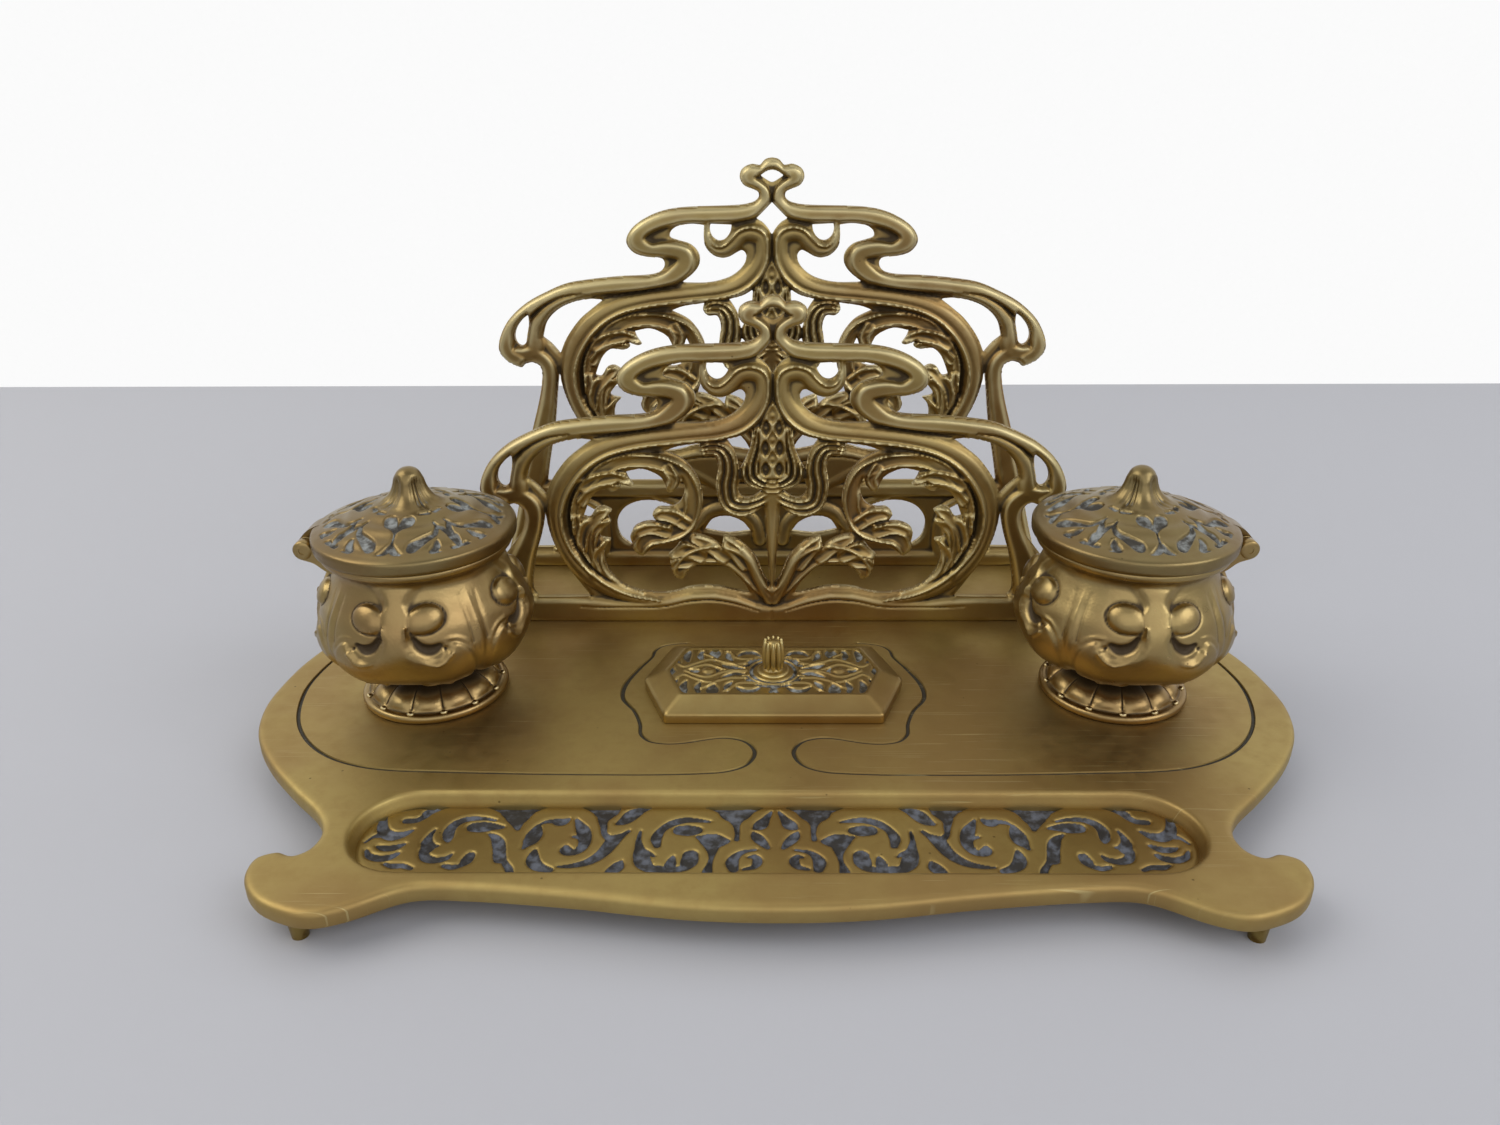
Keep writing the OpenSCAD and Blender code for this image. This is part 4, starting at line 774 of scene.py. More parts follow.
BUD = [[-1, 72], [0, 72], [2.4, 67.5], [4.2, 62.5], [4.2, 56], [4.2, 48], [-1, 47]]
BUD_CELLS = [(0, 67.6, 1.5, 2.4), (1.9, 63.6, 1.3, 2.2), (0, 60.2, 1.3, 2.2), (2.1, 57.3, 1.3, 2.2),
    (0, 54.2, 1.3, 2), (2, 50.8, 1.3, 2)]
FOOT_RAIL = [[-1, -0.6], [-1, 5.2], [0, 5.2], [5, 6], [11, 8.6], [18, 10.2], [25, 9.9], [32, 8.2], [40, 7],
    [48, 7.1], [56, 8], [64, 8.6], [74, 8.6], [87.8, 8.6], [87.8, -0.6]]
SEAMS = [[[34, 55.9, 0.5], [41, 55.3, 0.9], [49, 52.9, 1.1], [56, 48, 1.1], [60.4, 41.5, 1.2],
     [61.8, 34, 1.2], [60.8, 27, 1.2], [57.4, 20.4, 1.1], [52, 15, 0.9], [46, 11.6, 0.5]],
    [[30, 63.6, 0.4], [38, 62.8, 0.8], [46, 61.6, 0.8], [53, 60.2, 0.4]],
    [[60, 61.9, 0.3], [67, 60.6, 0.7], [73.4, 57.4, 0.7], [77, 54.4, 0.4]],
    [[4, 3.6, 0.3], [11, 6, 0.5], [18, 7.4, 0.6], [26, 7, 0.5], [34, 5.2, 0.4], [48, 4.8, 0.4],
     [60, 5.2, 0.3]]]


def scrollwork(relief, side, openings):
    """The silhouette, and the strands that both plates of the rack share."""
    relief.outline(chain(CREST + side))
    for opening in list(OPENINGS.values()) + openings:
        relief.opening(chain(opening))
    relief.height = np.maximum(relief.height, 1.7)
    relief.strand(CREST_RIBBON, "flat", crown=2.4)
    relief.strand(INNER_BRANCH, "round", crown=2)
    relief.strand(GREAT_SCROLL, "ridged", crown=2.6)
    relief.strand(SPIRAL, "channel_right", crown=2.4)
    for knots in LEAVES:
        relief.strand(knots, "leaf", base=1.6, crown=1.7)
    relief.strand(FOOT_LEAF, "channel_left", crown=2.2)
    for knots in FOOT_LOBES:
        relief.strand(knots, "leaf", base=1.6, crown=1.7)
    relief.strand(FOOT_STEM, "round", crown=2)
    relief.strand(OUTER_PETAL, "fluted", crown=1.9)
    relief.strand(INNER_PETAL, "fluted", crown=2.3)
    relief.strand(PISTIL, "round", base=1.6, crown=1.6)
    relief.slab(BUD, base=1.9, crown=1.2, edge=0.8)
    for x, z, half_wide, half_high in BUD_CELLS:
        for side in (-1, 1) if x else (1,):
            slit = [(z + half_high, 0.7), (z, 2 * half_wide), (z - 0.5 * half_high, 1.6 * half_wide),
                    (z - half_high, 0.6)]
            relief.cut([[side * x, height, wide] for height, wide in slit], 0.7)
            relief.height += 0.5 * np.exp(-((relief.X - side * x) ** 2 + (relief.Z - z + 0.3) ** 2) / 0.5)
    for knots in SEAMS:
        relief.cut(knots, 1.3)
    relief.roll_edges(1.5, 0.9)


def cast_plate(name, relief, back, lift):
    """One plate of the rack: the relief faces the front, the back is flat, and three lugs stand behind it."""
    shape = Shape()
    shape.cast(relief, 0, lambda flat, height: np.stack([flat[:, 0], back - height, flat[:, 1] + lift], 1))
    turn = np.linspace(0, math.pi, 17)
    arc = LUG_R * np.stack([np.cos(turn), np.sin(turn)], 1)
    arc = np.vstack([arc, [[-LUG_R, -0.8], [LUG_R, -0.8]]])
    for lug in LUG_X:
        rings = [at(arc * (1 - d / LUG_R) + [lug, back], TRAY_TOP + h)
                 for d, h in ((0, -0.2), (0, 5.6), (0.25, 6.3), (0.9, 6.6))]
        shape.rings(rings)
        shape.caps(rings[-1], rings[0])
    piece = shape.piece(name + "_casting", rack_brass, sharp=50)
    mark_wear(piece, full=0.6)
    stands_for(piece, name, "stand")


def make_front_plate():
    relief = Relief((0, -0.8), (90, 103.6), 0.38 if FINE else 0.6)
    relief.slab(FOOT_RAIL, base=1.5, crown=1.7, edge=2.2)
    relief.strand(FRONT_LEG, "flat", crown=2.1, fuller=1.1)
    scrollwork(relief, FRONT_SIDE, [FRONT_OPENING])
    relief.soften()
    cast_plate("rack_front", relief, RACK_BACK, TRAY_TOP)


make_front_plate()


def make_rear_plate():
    relief = Relief((0, -33.4), (94, 103.6), 0.42 if FINE else 0.7)
    relief.slab([[-1, -33.2], [-1, -7], [60, -7], [82, -8.4], [86.6, -18], [90, -33.2]], base=1.2, crown=0.3)
    relief.slab([[-1, -33.2], [-1, -27.4], [90, -27.4], [91, -33.2]], base=1.5, crown=1.7, edge=2)
    relief.strand([[0, -4.4, 6], [18, -4.6, 6], [34, -4.6, 6], [60, -4.6, 6], [77, -4.8, 6]], "flat",
                  crown=2, fuller=1)
    relief.strand([[52, 10.6, 4.8], [44, 7.2, 4.6], [36, 6, 4.6], [28, 2.6, 4.6], [20, -2, 4.6]], "round",
                  crown=2)
    relief.slab([[-1, -2], [-1, 8], [6, 8.4], [14, 9.8], [25, 9.8], [34, 7.6], [33, 4.4], [30.6, 0.8],
                 [32, -2]], base=1.4, crown=1.5)
    relief.strand([[25.4, -28, 4], [26, -20, 3.4], [30, -11, 3.4], [39, -6.6, 3.4]], "round", crown=1.6)
    relief.strand([[4, -23, 4], [6, -16, 4], [13, -11.4, 4.6], [21, -12.4, 4], [25.6, -18, 3]], "round",
                  crown=1.8)
    relief.strand([[48, -24.4, 3], [46.4, -20.6, 4], [41, -19, 3.6], [34, -20, 3.2], [28, -22.4, 2.6]],
                  "leaf", crown=1.8)
    relief.strand([[58, -28, 4], [58, -18, 4.4], [59.4, -11.6, 3.6], [64, -7.6, 3]], "round", crown=1.8)
    relief.strand([[60, -19.6, 3.4], [65.4, -25, 4], [74, -27.4, 3]], "leaf", crown=1.8)
    relief.strand(REAR_LEG, "flat", crown=2.1, fuller=1.1)
    scrollwork(relief, REAR_SIDE, REAR_OPENINGS)
    relief.soften()
    cast_plate("rack_rear", relief, REAR_BACK, TRAY_TOP + REAR_LIFT)


make_rear_plate()

# ---------------------------------------------------------------- tray


def turn_left(loop):
    """The loop in the direction that turns left."""
    loop = np.asarray(loop, float)
    x, y = loop[:, 0], loop[:, 1]
    return loop if np.sum(x * np.roll(y, -1) - y * np.roll(x, -1)) > 0 else loop[::-1]


def inset(loop, depth):
    """A loop that turns left, moved in by depth in short steps that keep its points apart."""
    loop = np.array(loop, float)
    steps = max(1, math.ceil(abs(depth) / 0.15))
    for _ in range(steps if depth else 0):
        ahead, behind = np.roll(loop, -1, 0), np.roll(loop, 1, 0)
        run = unit(ahead - behind)
        loop = loop + np.stack([-run[:, 1], run[:, 0]], 1) * depth / steps
        ahead, behind = np.roll(loop, -1, 0), np.roll(loop, 1, 0)
        pull = 0.5 * np.clip(1.3 - np.linalg.norm(ahead - behind, axis=1), 0, 1)[:, None]
        loop = loop * (1 - pull) + (ahead + behind) / 2 * pull
    return loop


def both_halves(half):
    """A whole loop from its right half, which runs from the front round to the back."""
    half = np.array(half, float)
    other = half[::-1][1:-1] * [-1, 1]
    return np.vstack([half, other])


TRAY_LOOP = turn_left(smooth_path(both_halves([[x, y + FRONT_EDGE] for x, y in TRAY_HALF]), 0.9, True))


def pen_loop(radius):
    """The pen channel's outline, drawn radius from the middle line of its straight part."""
    reach = PEN_HALF - PEN_R
    turn = np.linspace(-math.pi / 2, math.pi / 2, 25)
    right = np.stack([reach + radius * np.cos(turn), radius * np.sin(turn)], 1)
    along = np.linspace(reach, -reach, 60)[1:-1]
    half = np.vstack([right, np.stack([along, np.full(len(along), radius)], 1)])
    return np.vstack([half, -half]) + [0, PEN_Y]


def hex_loop(shrink):
    """The stamp box's six-sided outline, drawn in by shrink, with small round corners."""
    hexagon = np.array(STAMP_HEX, float)
    corners = []
    ways = unit(np.roll(hexagon, -1, 0) - hexagon)
    for here, a, b in zip(hexagon, np.roll(ways, 1, 0), ways):
        spot = here + np.array([-a[1] - b[1], a[0] + b[0]]) * shrink / (1 + a @ b)
        t = np.linspace(0, 1, 5)[:, None]
        start, end = spot - a * HEX_CORNER, spot + b * HEX_CORNER
        corners.append((1 - t) ** 2 * start + 2 * t * (1 - t) * spot + t * t * end)
    loop = []
    for arc, after in zip(corners, corners[1:] + corners[:1]):
        loop += [arc, arc[-1] + (after[0] - arc[-1]) * np.linspace(0, 1, 18)[1:-1, None]]
    return np.vstack(loop) + [0, ROW_Y]


def engraved_line(side):
    """Points along the engraved line, and the way from each to the line's edge."""
    path = smooth_path([[side * x, y + FRONT_EDGE, w] for x, y, w in ENGRAVED], 0.8)
    run = unit(np.gradient(path[:, :2], axis=0))
    return path[:, :2], np.stack([run[:, 1], -run[:, 0]], 1) * (path[:, 2:3] + 0.4) / 2


def make_tray():
    shape = Shape()
    rim_margin, channel_margin, well_margin, well_in = 2.8, 16.4, 2.1, 4.5
    # the rim: inside of the skirt, its foot, the rounded upper edge and a level margin
    rim = [(SKIRT_T, UNDER_PLATE), (SKIRT_T, SKIRT_Z + 0.3), (SKIRT_T - 0.3, SKIRT_Z), (0.7, SKIRT_Z),
           (0.2, SKIRT_Z + 0.25), (0, SKIRT_Z + 0.8), (0, 10.1), (0.12, 10.6), (0.4, 11.05), (0.85, 11.38),
           (1.4, 11.55), (2, TRAY_TOP), (rim_margin, TRAY_TOP)]
    loops = {depth: inset(TRAY_LOOP, depth) for depth, _ in rim}
    shape.rings([at(loops[depth], z) for depth, z in rim])

    # the pen channel: a rolled edge, steep sides, and the margin round them
    channel = [(channel_margin, TRAY_TOP), (15.5, TRAY_TOP), (15.0, 11.53), (14.6, 11.3), (14.35, 10.9),
               (14.1, 10.2), (13.75, 9.2), (13.5, 8.5), (13.4, 7.8), (13.35, 6.6)]
    shape.rings([at(pen_loop(r), z) for r, z in channel[::-1]], flip=True)
    # the stamp well under its lid
    well = [(well_margin, TRAY_TOP), (2.9, TRAY_TOP), (3.6, TRAY_TOP), (3.9, 11.5), (4, 11.2), (4, 3.6),
            (well_in, WELL_FLOOR)]
    shape.rings([at(hex_loop(d), z) for d, z in well[::-1]], flip=True)
    shape.flat([hex_loop(well_in)], WELL_FLOOR)

    holes = [pen_loop(channel_margin)[::-1], hex_loop(well_margin)[::-1]]
    for side in (1, -1):
        middle, out = engraved_line(side)
        half = np.linalg.norm(out, axis=1)[:, None]
        margin = out / half * (half + 0.6)
        ends = np.minimum(np.arange(len(middle)), np.arange(len(middle))[::-1])
        deep = TRAY_TOP - (0.3 + 0.5 * half[:, 0]) * ease(ends / 3)
        lines = [middle + way for way in (margin, out, 0.6 * out, -0.6 * out, -out, -margin)]
        levels = (TRAY_TOP, TRAY_TOP, deep, deep, TRAY_TOP, TRAY_TOP)
        shape.rings([at(line, z) for line, z in zip(lines, levels)], closed=False)
        hole = np.vstack([lines[0]] + [line[-1:] for line in lines[1:5]] + [lines[5][::-1]]
                         + [line[:1] for line in lines[4:0:-1]])
        holes.append(turn_left(hole)[::-1])
    shape.flat([loops[rim_margin]] + holes, TRAY_TOP)

    # underneath: the plate, the two sunk pans, and the bosses of the pegs
    pans = ((pen_loop(PEN_R + 1.6), 5.6), (hex_loop(2.4), 1.4))
    shape.flat([loops[SKIRT_T]] + [loop[::-1] for loop, _ in pans], UNDER_PLATE, up=False)
    for loop, low in pans:
        small = inset(loop, 0.8)
        shape.rings([at(small, low), at(loop, low + 0.6), at(loop, UNDER_PLATE)])
        shape.flat([small], low, up=False)
    for x, y in PEG_SPOTS:
        ring = circle(x, y, 4.5, 32)
        shape.rings([at(ring, SKIRT_Z), at(ring, UNDER_PLATE)])
        shape.flat([ring], SKIRT_Z, up=False)
    piece = shape.piece("tray_casting", tray_brass, sharp=42)
    lines = np.vstack([engraved_line(side)[0] for side in (1, -1)])

    def engraved(co):
        near = np.array([np.hypot(*(lines - spot).T).min() for spot in co[:, :2]])
        return (near < 0.7) * np.clip((TRAY_TOP - co[:, 2]) / 0.3, 0, 1)

    mark_wear(piece, full=0.3, rounds=3, sunk=engraved,
              level=lambda co: (co[:, 2] < 10.9) | (np.abs(co[:, 2] - TRAY_TOP) < 0.01))
    stands_for(piece, "tray", "stand")


# Sunk shapes of the channel's scroll band, right half: x, distance from the channel's middle, width.
PEN_CROSS = [[[0.9, 11.8, 0.5], [2.4, 8.8, 1.6], [3.5, 6.7, 2.4], [4.8, 5.6, 1]],
    [[5.2, 3.8, 0.7], [4.4, 2.2, 1.9], [3, 0.2, 1.7], [1.8, -1.7, 0.8]],
    [[4.6, -2.4, 0.5], [7.2, -3, 0.9], [9, -4.4, 1.4], [10, -6.8, 2.2], [9.6, -9.2, 1.6]],
    [[6.2, -5, 0.6], [4.9, -4.8, 1], [4.2, -6.4, 1.7], [5, -8.3, 1.1], [7.4, -9.2, 0.6]]]
PEN_FUNNELS = [[[3, 13.6, 0.6], [6, 12.4, 1.8], [9.6, 10.8, 4.4], [12.8, 12.4, 2], [16.4, 13.6, 0.6]],
    [[9.4, 9.6, 3.2], [9.3, 7, 1.4], [9, 4, 0.9], [9.1, 1.3, 0.9]],
    [[30.6, 13.2, 0.6], [32.8, 12.1, 1.8], [34.6, 10.6, 2.8], [36.1, 8.4, 2.2], [37.7, 7.2, 0.9]],
    [[38.2, 13.2, 1], [40.8, 11.5, 3.6], [43.2, 12.4, 2.1], [46.6, 13.5, 0.5]],
    [[40.9, 11, 3.4], [41.3, 8.4, 1.8], [40.9, 6, 1.2], [40.5, 3.6, 1], [39.4, 2, 1.3], [38, 1.4, 1.6]],
    [[56.2, 13.5, 0.6], [59, 12.4, 1.8], [62.4, 11, 4.2], [66, 12.4, 2], [69.8, 13.6, 0.5]],
    [[62.2, 10, 4.4], [61.9, 7.6, 2.4], [61.3, 5, 0.8]]]
PEN_CRESCENTS = [[[10.9, 0.8, 0.6], [12.6, 0.7, 2.3], [14.8, 0.9, 3.8], [16.8, 1.7, 1.9], [18.4, 2.3, 0.6]],
    [[14.9, 0, 3.2], [14.7, -2.8, 1.7], [14.8, -5.4, 0.8], [15.1, -7.6, 1], [15.5, -10, 1.7],
     [15.8, -13, 1.8]],
    [[15.6, 7.9, 0.5], [18.8, 8.5, 1.2], [21.8, 8.5, 1.6], [24.8, 7.2, 1.7], [27, 4.8, 1.5], [28, 1.8, 1.9],
     [27.6, -1, 1.2]], [[18.6, 4.7, 2], [20.5, 4.6, 2.9], [22.6, 4.7, 2.5]],
    [[65, 5.7, 0.8], [67.6, 5.9, 2], [70, 5.8, 2.9], [72, 5.7, 2.4]],
    [[67.2, 8.3, 0.5], [70.4, 9, 1], [74, 8.8, 1.4], [76.4, 7.2, 1.7], [77.4, 4.8, 1.9], [77.2, 2.2, 1.9],
     [76.8, 0.6, 0.8]],
    [[67.6, 3.2, 0.6], [66, 1.9, 1.5], [64.9, 0, 2.2], [64.2, -2, 2.2], [63.8, -4, 2.2], [63.3, -5.8, 2.2]],
    [[63.1, -5.2, 1], [61.6, -7.6, 1.1], [60.4, -9.6, 1.3], [60, -12.6, 1.6]]]
PEN_CURLS = [[[19.6, -4.5, 2.8], [19.8, -6.5, 2.9], [21, -8.8, 1.6], [24.4, -9.3, 1.5], [28.6, -9, 1.8]],
    [[23.6, -5, 0.7], [23.9, -6.8, 1.7], [24.2, -8.6, 2]],
    [[32, 4.2, 0.5], [32.1, 1, 0.9], [31.6, -2, 1.7], [31, -4.6, 2.7], [30.3, -7, 2.8], [29, -8.9, 1.9]],
    [[30.8, -3, 1.4], [29.2, -3.7, 0.9], [28, -4.8, 0.5]],
    [[34.8, 4.4, 0.7], [36.2, 2.8, 1.2], [38, 1, 2.5], [38.8, -1, 2.5], [40, -3.6, 2.2], [41.8, -5.8, 1.9],
     [44, -7.3, 1.5], [47, -8.2, 1], [49.6, -8.4, 0.5]],
    [[35.4, -6.6, 0.7], [36, -8.4, 2.2], [37.2, -10, 2], [38, -12.4, 2]],
    [[47.8, 8.7, 0.6], [46.7, 6.6, 1.6], [45.6, 4.4, 2.4], [44.9, 2, 2.4], [44.7, 0, 2.1],
     [45.3, -2.2, 1.7], [46.8, -3.5, 1.4], [48.5, -2.8, 2.1], [48.8, -1.2, 0.8]],
    [[45.4, 2.2, 1.6], [47.7, 2.3, 0.6]],
    [[49.6, 8.9, 0.6], [51.4, 7.7, 2.1], [53, 8.1, 1.3], [55, 7.8, 0.9], [56.2, 7, 0.5]],
    [[56.6, 6.6, 0.7], [56.7, 4.8, 1.9], [57, 2.8, 2.8], [57.4, 1, 2.6], [58.2, -0.8, 1.2],
     [58.6, -2, 0.6]],
    [[55.8, -2.6, 0.7], [55.8, -4.6, 1.8], [55.4, -6.8, 2.4], [53.8, -8.6, 2], [51.2, -9.6, 1.2]],
    [[70.4, -4.6, 1.7], [70.8, -6.3, 2], [71.8, -8, 1.1], [73.6, -8.7, 1.2], [75.6, -8.2, 0.9]],
    [[81, 4.6, 0.5], [81.6, 2.4, 1], [81.6, 0, 1.9], [80.9, -1.8, 2.4], [81.4, -3.6, 1.7],
     [80.4, -5.5, 1.8], [78.2, -6.3, 1.6], [75.8, -5.6, 1.2], [74.8, -4.2, 0.5]],
    [[80.4, -1.4, 1.5], [78.8, -1.3, 0.6]]]
PEN_END = [[[79.8, 13.7, 0.6], [82.2, 12.8, 1.3], [84.2, 11.4, 1.8], [85, 9.6, 1.4], [86.6, 8.2, 1.4],
     [88.8, 8, 1.4]], [[83.4, 13.2, 1], [87.6, 13.1, 0.8], [91, 12.2, 0.5]],
    [[94.2, 9.6, 0.5], [94.2, 7.6, 1.4], [93.8, 5.6, 1.9], [92.6, 3.6, 2.2], [90.4, 2.3, 2.4],
     [88.2, 2.9, 1.7], [86.2, 4.6, 0.6]], [[92.8, 3, 1.8], [94.8, 2, 0.8], [96.2, 0, 0.5]],
    [[86.8, -0.6, 0.7], [88.8, -1.9, 1.6], [91.2, -2.1, 1.4], [92.8, -1.4, 0.6]],
    [[87.4, -4, 0.9], [88.8, -5.3, 1.5], [91.4, -5.7, 1.6], [93.8, -4.7, 1.2], [95, -2.8, 0.6]],
    [[82.8, -9.2, 0.8], [84.8, -8.3, 1.1], [87.2, -8.3, 1.3], [89.2, -7.6, 0.6]]]


def make_pen_floor():
    """The channel's floor: bands of scrollwork over a sunk ground, the left half the mirror of the right."""
    relief = Relief((0, -14.2), (99, 14.2), 0.3 if FINE else 0.6)
    deep = FLOOR_R - np.hypot(np.maximum(relief.X - (PEN_HALF - PEN_R), 0), relief.Z)
    relief.inside = deep
    shapes = PEN_CROSS + PEN_FUNNELS + PEN_CRESCENTS + PEN_CURLS + PEN_END
    sunk = relief.within_any(shapes, margin=2.2, fuller=1.35)
    band = np.clip(-sunk / 0.9, 0, 1)
    relief.height = FLOOR_TOP - 0.95 * ease((sunk + 0.1) / 0.5) - 0.14 * (1 - band) ** 2
    relief.height = np.minimum(relief.height, FLOOR_TOP - 0.35 * ease(1 - np.clip(deep / 1.4, 0, 1)))
    relief.soften()
    shape = Shape()
    shape.cast(relief, FLOOR_UNDER, lambda flat, height: np.column_stack([flat + [0, PEN_Y], height]))
    piece = shape.piece("pen_channel_scrollwork", pen_brass, sharp=60)
    mark_wear(piece, full=0.5, sunk=lambda co: np.clip((7.8 - co[:, 2]) / 0.45, 0, 1))
    stands_for(piece, "tray", "stand")


make_tray()
make_pen_floor()

# ---------------------------------------------------------------- ink pots

BOWL_PROFILE = [[8.5, 0], [12, .9], [18, 3.1], [23.5, 5.6], [26.6, 8.6], [28.2, 12.6], [28.4, 16.6],
    [27.2, 21.5], [25, 26], [23, 30.1], [22.3, 32.5], [23.3, 34.1], [24.8, 35.2], [25.1, 36.4],
    [24.8, 37.1]]
BOWL_INSIDE = [[23.2, 37.1], [22.9, 36.8], [22.8, 35.9], [22.4, 35.6], [20.6, 35.5], [20.6, 32.5],
    [21.6, 29], [23.6, 24], [24.8, 18], [24.6, 12], [22, 8.4], [16, 6.6], [8, 6.4], [2.1, 6.4]]
KNUCKLE_Y = 5.26
KNUCKLE_HALF = 1.74
LID_KNUCKLE_HALF = 3.22
# Sections of the blocks that join the hinge's knuckles to bowl and lid: x from the pot's middle, height.
BOWL_BLOCK = [[20.4, 50.4], [23, 51], [26, 53.4], [HINGE_X + 1.6, HINGE_Z - 2], [HINGE_X + 2.5, HINGE_Z],
    [HINGE_X + 1.4, HINGE_Z + 2], [25.4, SEAT_Z - 0.5], [20.6, SEAT_Z - 0.6]]
LID_BLOCK = [[21.4, SEAT_Z + 1.4], [21.4, 62.9], [24.6, 62.7], [27.4, 61.5], [29.7, 59.4], [30.9, 57.2],
    [30, 55.2], [27.6, 54.9], [26, 56.6], [25.6, 58.5]]
# The flower on one quarter of the bowl: the way round from a stem, height and, for strands, width. First its
# body, then what stands up on it: the lip round the recess, the long arch beside it, and the foot's curl.
FLOWER_BODY = [[-4, 38], [14, 38], [11.6, 33.6], [8, 30.4], [5.2, 28], [4.4, 25], [4, 22], [3.4, 20.4],
    [3.5, 19], [4.8, 16.6], [7.6, 14.6], [10.8, 14.4], [13, 16.4], [14.4, 18.8], [17, 18], [19.6, 15],
    [21, 10], [20.4, 4], [18.6, -3], [-4, -3]]
FLOWER_LIPS = [[[2.9, 23, 1], [3.6, 19.4, 1.4], [5.2, 16.4, 1.7], [8, 14.3, 2], [10.8, 14, 2],
     [13, 15.6, 1.8]],
    [[13.4, 19.6, 1], [16, 19.2, 1.5], [18.8, 17, 1.5], [20.6, 13, 1.4], [21.2, 8, 1.2], [20.4, 3, 0.8]],
    [[5.6, 6.2, 0.8], [8.2, 4.4, 1.4], [11.4, 4, 1.4], [13.8, 5.6, 0.8]]]


def bowl_relief():
    """One quarter of the bowl's casting unrolled: x is the distance round from a stem, z the height."""
    quarter = Relief((0, -1), (23.4, 38.4), 0.3)
    ground = -0.75
    # the flower's body: a stem that widens into the neck above, and into two cheeks under the recesses
    body = quarter.within(smooth_path(FLOWER_BODY, 1, True))
    quarter.height = np.full(quarter.X.shape, ground)
    cheek = np.exp(-(((quarter.X - 12.5) / 6.4) ** 2 + ((quarter.Z - 9) / 6.6) ** 2))
    stem = 0.75 * np.exp(-(quarter.X / 5) ** 4) * ease((quarter.Z - 10) / 8)
    ramp = 1.3 + 3 * ease((quarter.Z - 26) / 3)
    quarter.raise_to(ground + (0.95 + 0.85 * cheek + stem) * ease(body / ramp + 0.1), True)
    for knots, rise in zip(FLOWER_LIPS, (0.75, 0.55, 0.45)):
        deep, t = quarter.along(knots)
        quarter.height = np.where(deep > 0, quarter.height + rise * section("round", t), quarter.height)
    # a bud on each side of the stem, set off by a crease, and the recess below it
    bud = 1 - ((quarter.X - 8.2) / 5.6) ** 2 - ((quarter.Z - 25 - 0.08 * (quarter.X - 8.2)) / 3.5) ** 2
    quarter.raise_to(-0.5 + 1.8 * np.sqrt(np.clip(bud, 0, 1)), True)
    quarter.height -= 0.45 * np.exp(-((bud + 0.06) / 0.15) ** 2) * ease((quarter.X - 4.4) / 2.4)
    pocket = quarter.along([[4.6, 20.6, 1.6], [6.4, 18.2, 2.8], [9, 17.2, 3.2], [11.2, 18, 2]])[0]
    quarter.height -= 1.1 * ease((pocket + 0.2) / 1.2)
    quarter.dirt = ease((pocket + 0.4) / 1.2)
    hole = quarter.along([[12.4, 17.2, 1.2], [12.6, 16.8, 1]])[0]
    quarter.height -= 0.8 * ease((hole + 0.1) / 0.5)
    # the crease and the slim lens halfway between two stems
    lens = quarter.along([[22.4, 31, 0.6], [22.4, 25, 2.6], [22.4, 17, 3.2], [22.4, 9, 2.2],
                          [22.4, 3, 0.5]])[0]
    quarter.height += 0.35 * ease((lens + 0.1) / 1.4)
    crease = quarter.along([[19.6, 29, 0.5], [20.2, 23, 0.9], [20.2, 17, 0.9]])[0]
    quarter.height -= 0.35 * ease((crease + 0.1) / 0.5)
    # everything dies away into the plain rim and foot
    quarter.height *= ease((34.6 - quarter.Z) / 3.5) * ease((quarter.Z + 0.4) / 2.6)
    quarter.soften()
    return quarter


def from_stem(turn):
    """The way round the bowl from the nearest of its four stems, in millimetres at the widest place."""
    return np.abs((turn + math.pi / 4) % (math.pi / 2) - math.pi / 4) * BOWL_R


def lathe_rings(profile, around, base_z):
    """Rings of a profile given as radius and height."""
    return [at(circle(0, 0, r, around), z + base_z) for r, z in profile]


def raised_rings(profile, around, base_z, lift):
    """Such rings, each point raised from the surface by lift, a function of radius, height and turns."""
    turn = round_turn(around)
    rings = []
    for (r, z), (dr, dz) in zip(profile, unit(np.gradient(profile, axis=0))):
        rise = lift(r, z, turn)
        rings.append(np.column_stack([(r + rise * dz) * np.cos(turn), (r + rise * dz) * np.sin(turn),
                                      z - rise * dr + base_z]))
    return rings


def across(loop, y):
    """An upright loop's points, given as x and z, at the depth y."""
    return np.column_stack([loop[:, 0], np.full(len(loop), y), loop[:, 1]])


def knuckle(shape, y0, y1, block):
    """A hinge knuckle between y0 and y1: a barrel, and the block that joins it to the casting."""
    bevel, bore = 0.35, 0.95
    barrel = ((bore, y0), (BARREL_R - bevel, y0), (BARREL_R, y0 + bevel), (BARREL_R, y1 - bevel),
              (BARREL_R - bevel, y1), (bore, y1), (bore, y0))
    shape.rings([across(circle(HINGE_X, HINGE_Z, r, 28), y) for r, y in barrel], flip=True)
    block = turn_left(smooth_path(block, 0.8, True))
    ends = [across(block, y) for y in (y0 + 0.2, y1 - 0.2)]
    shape.rings(ends, flip=True)
    shape.caps(*ends)


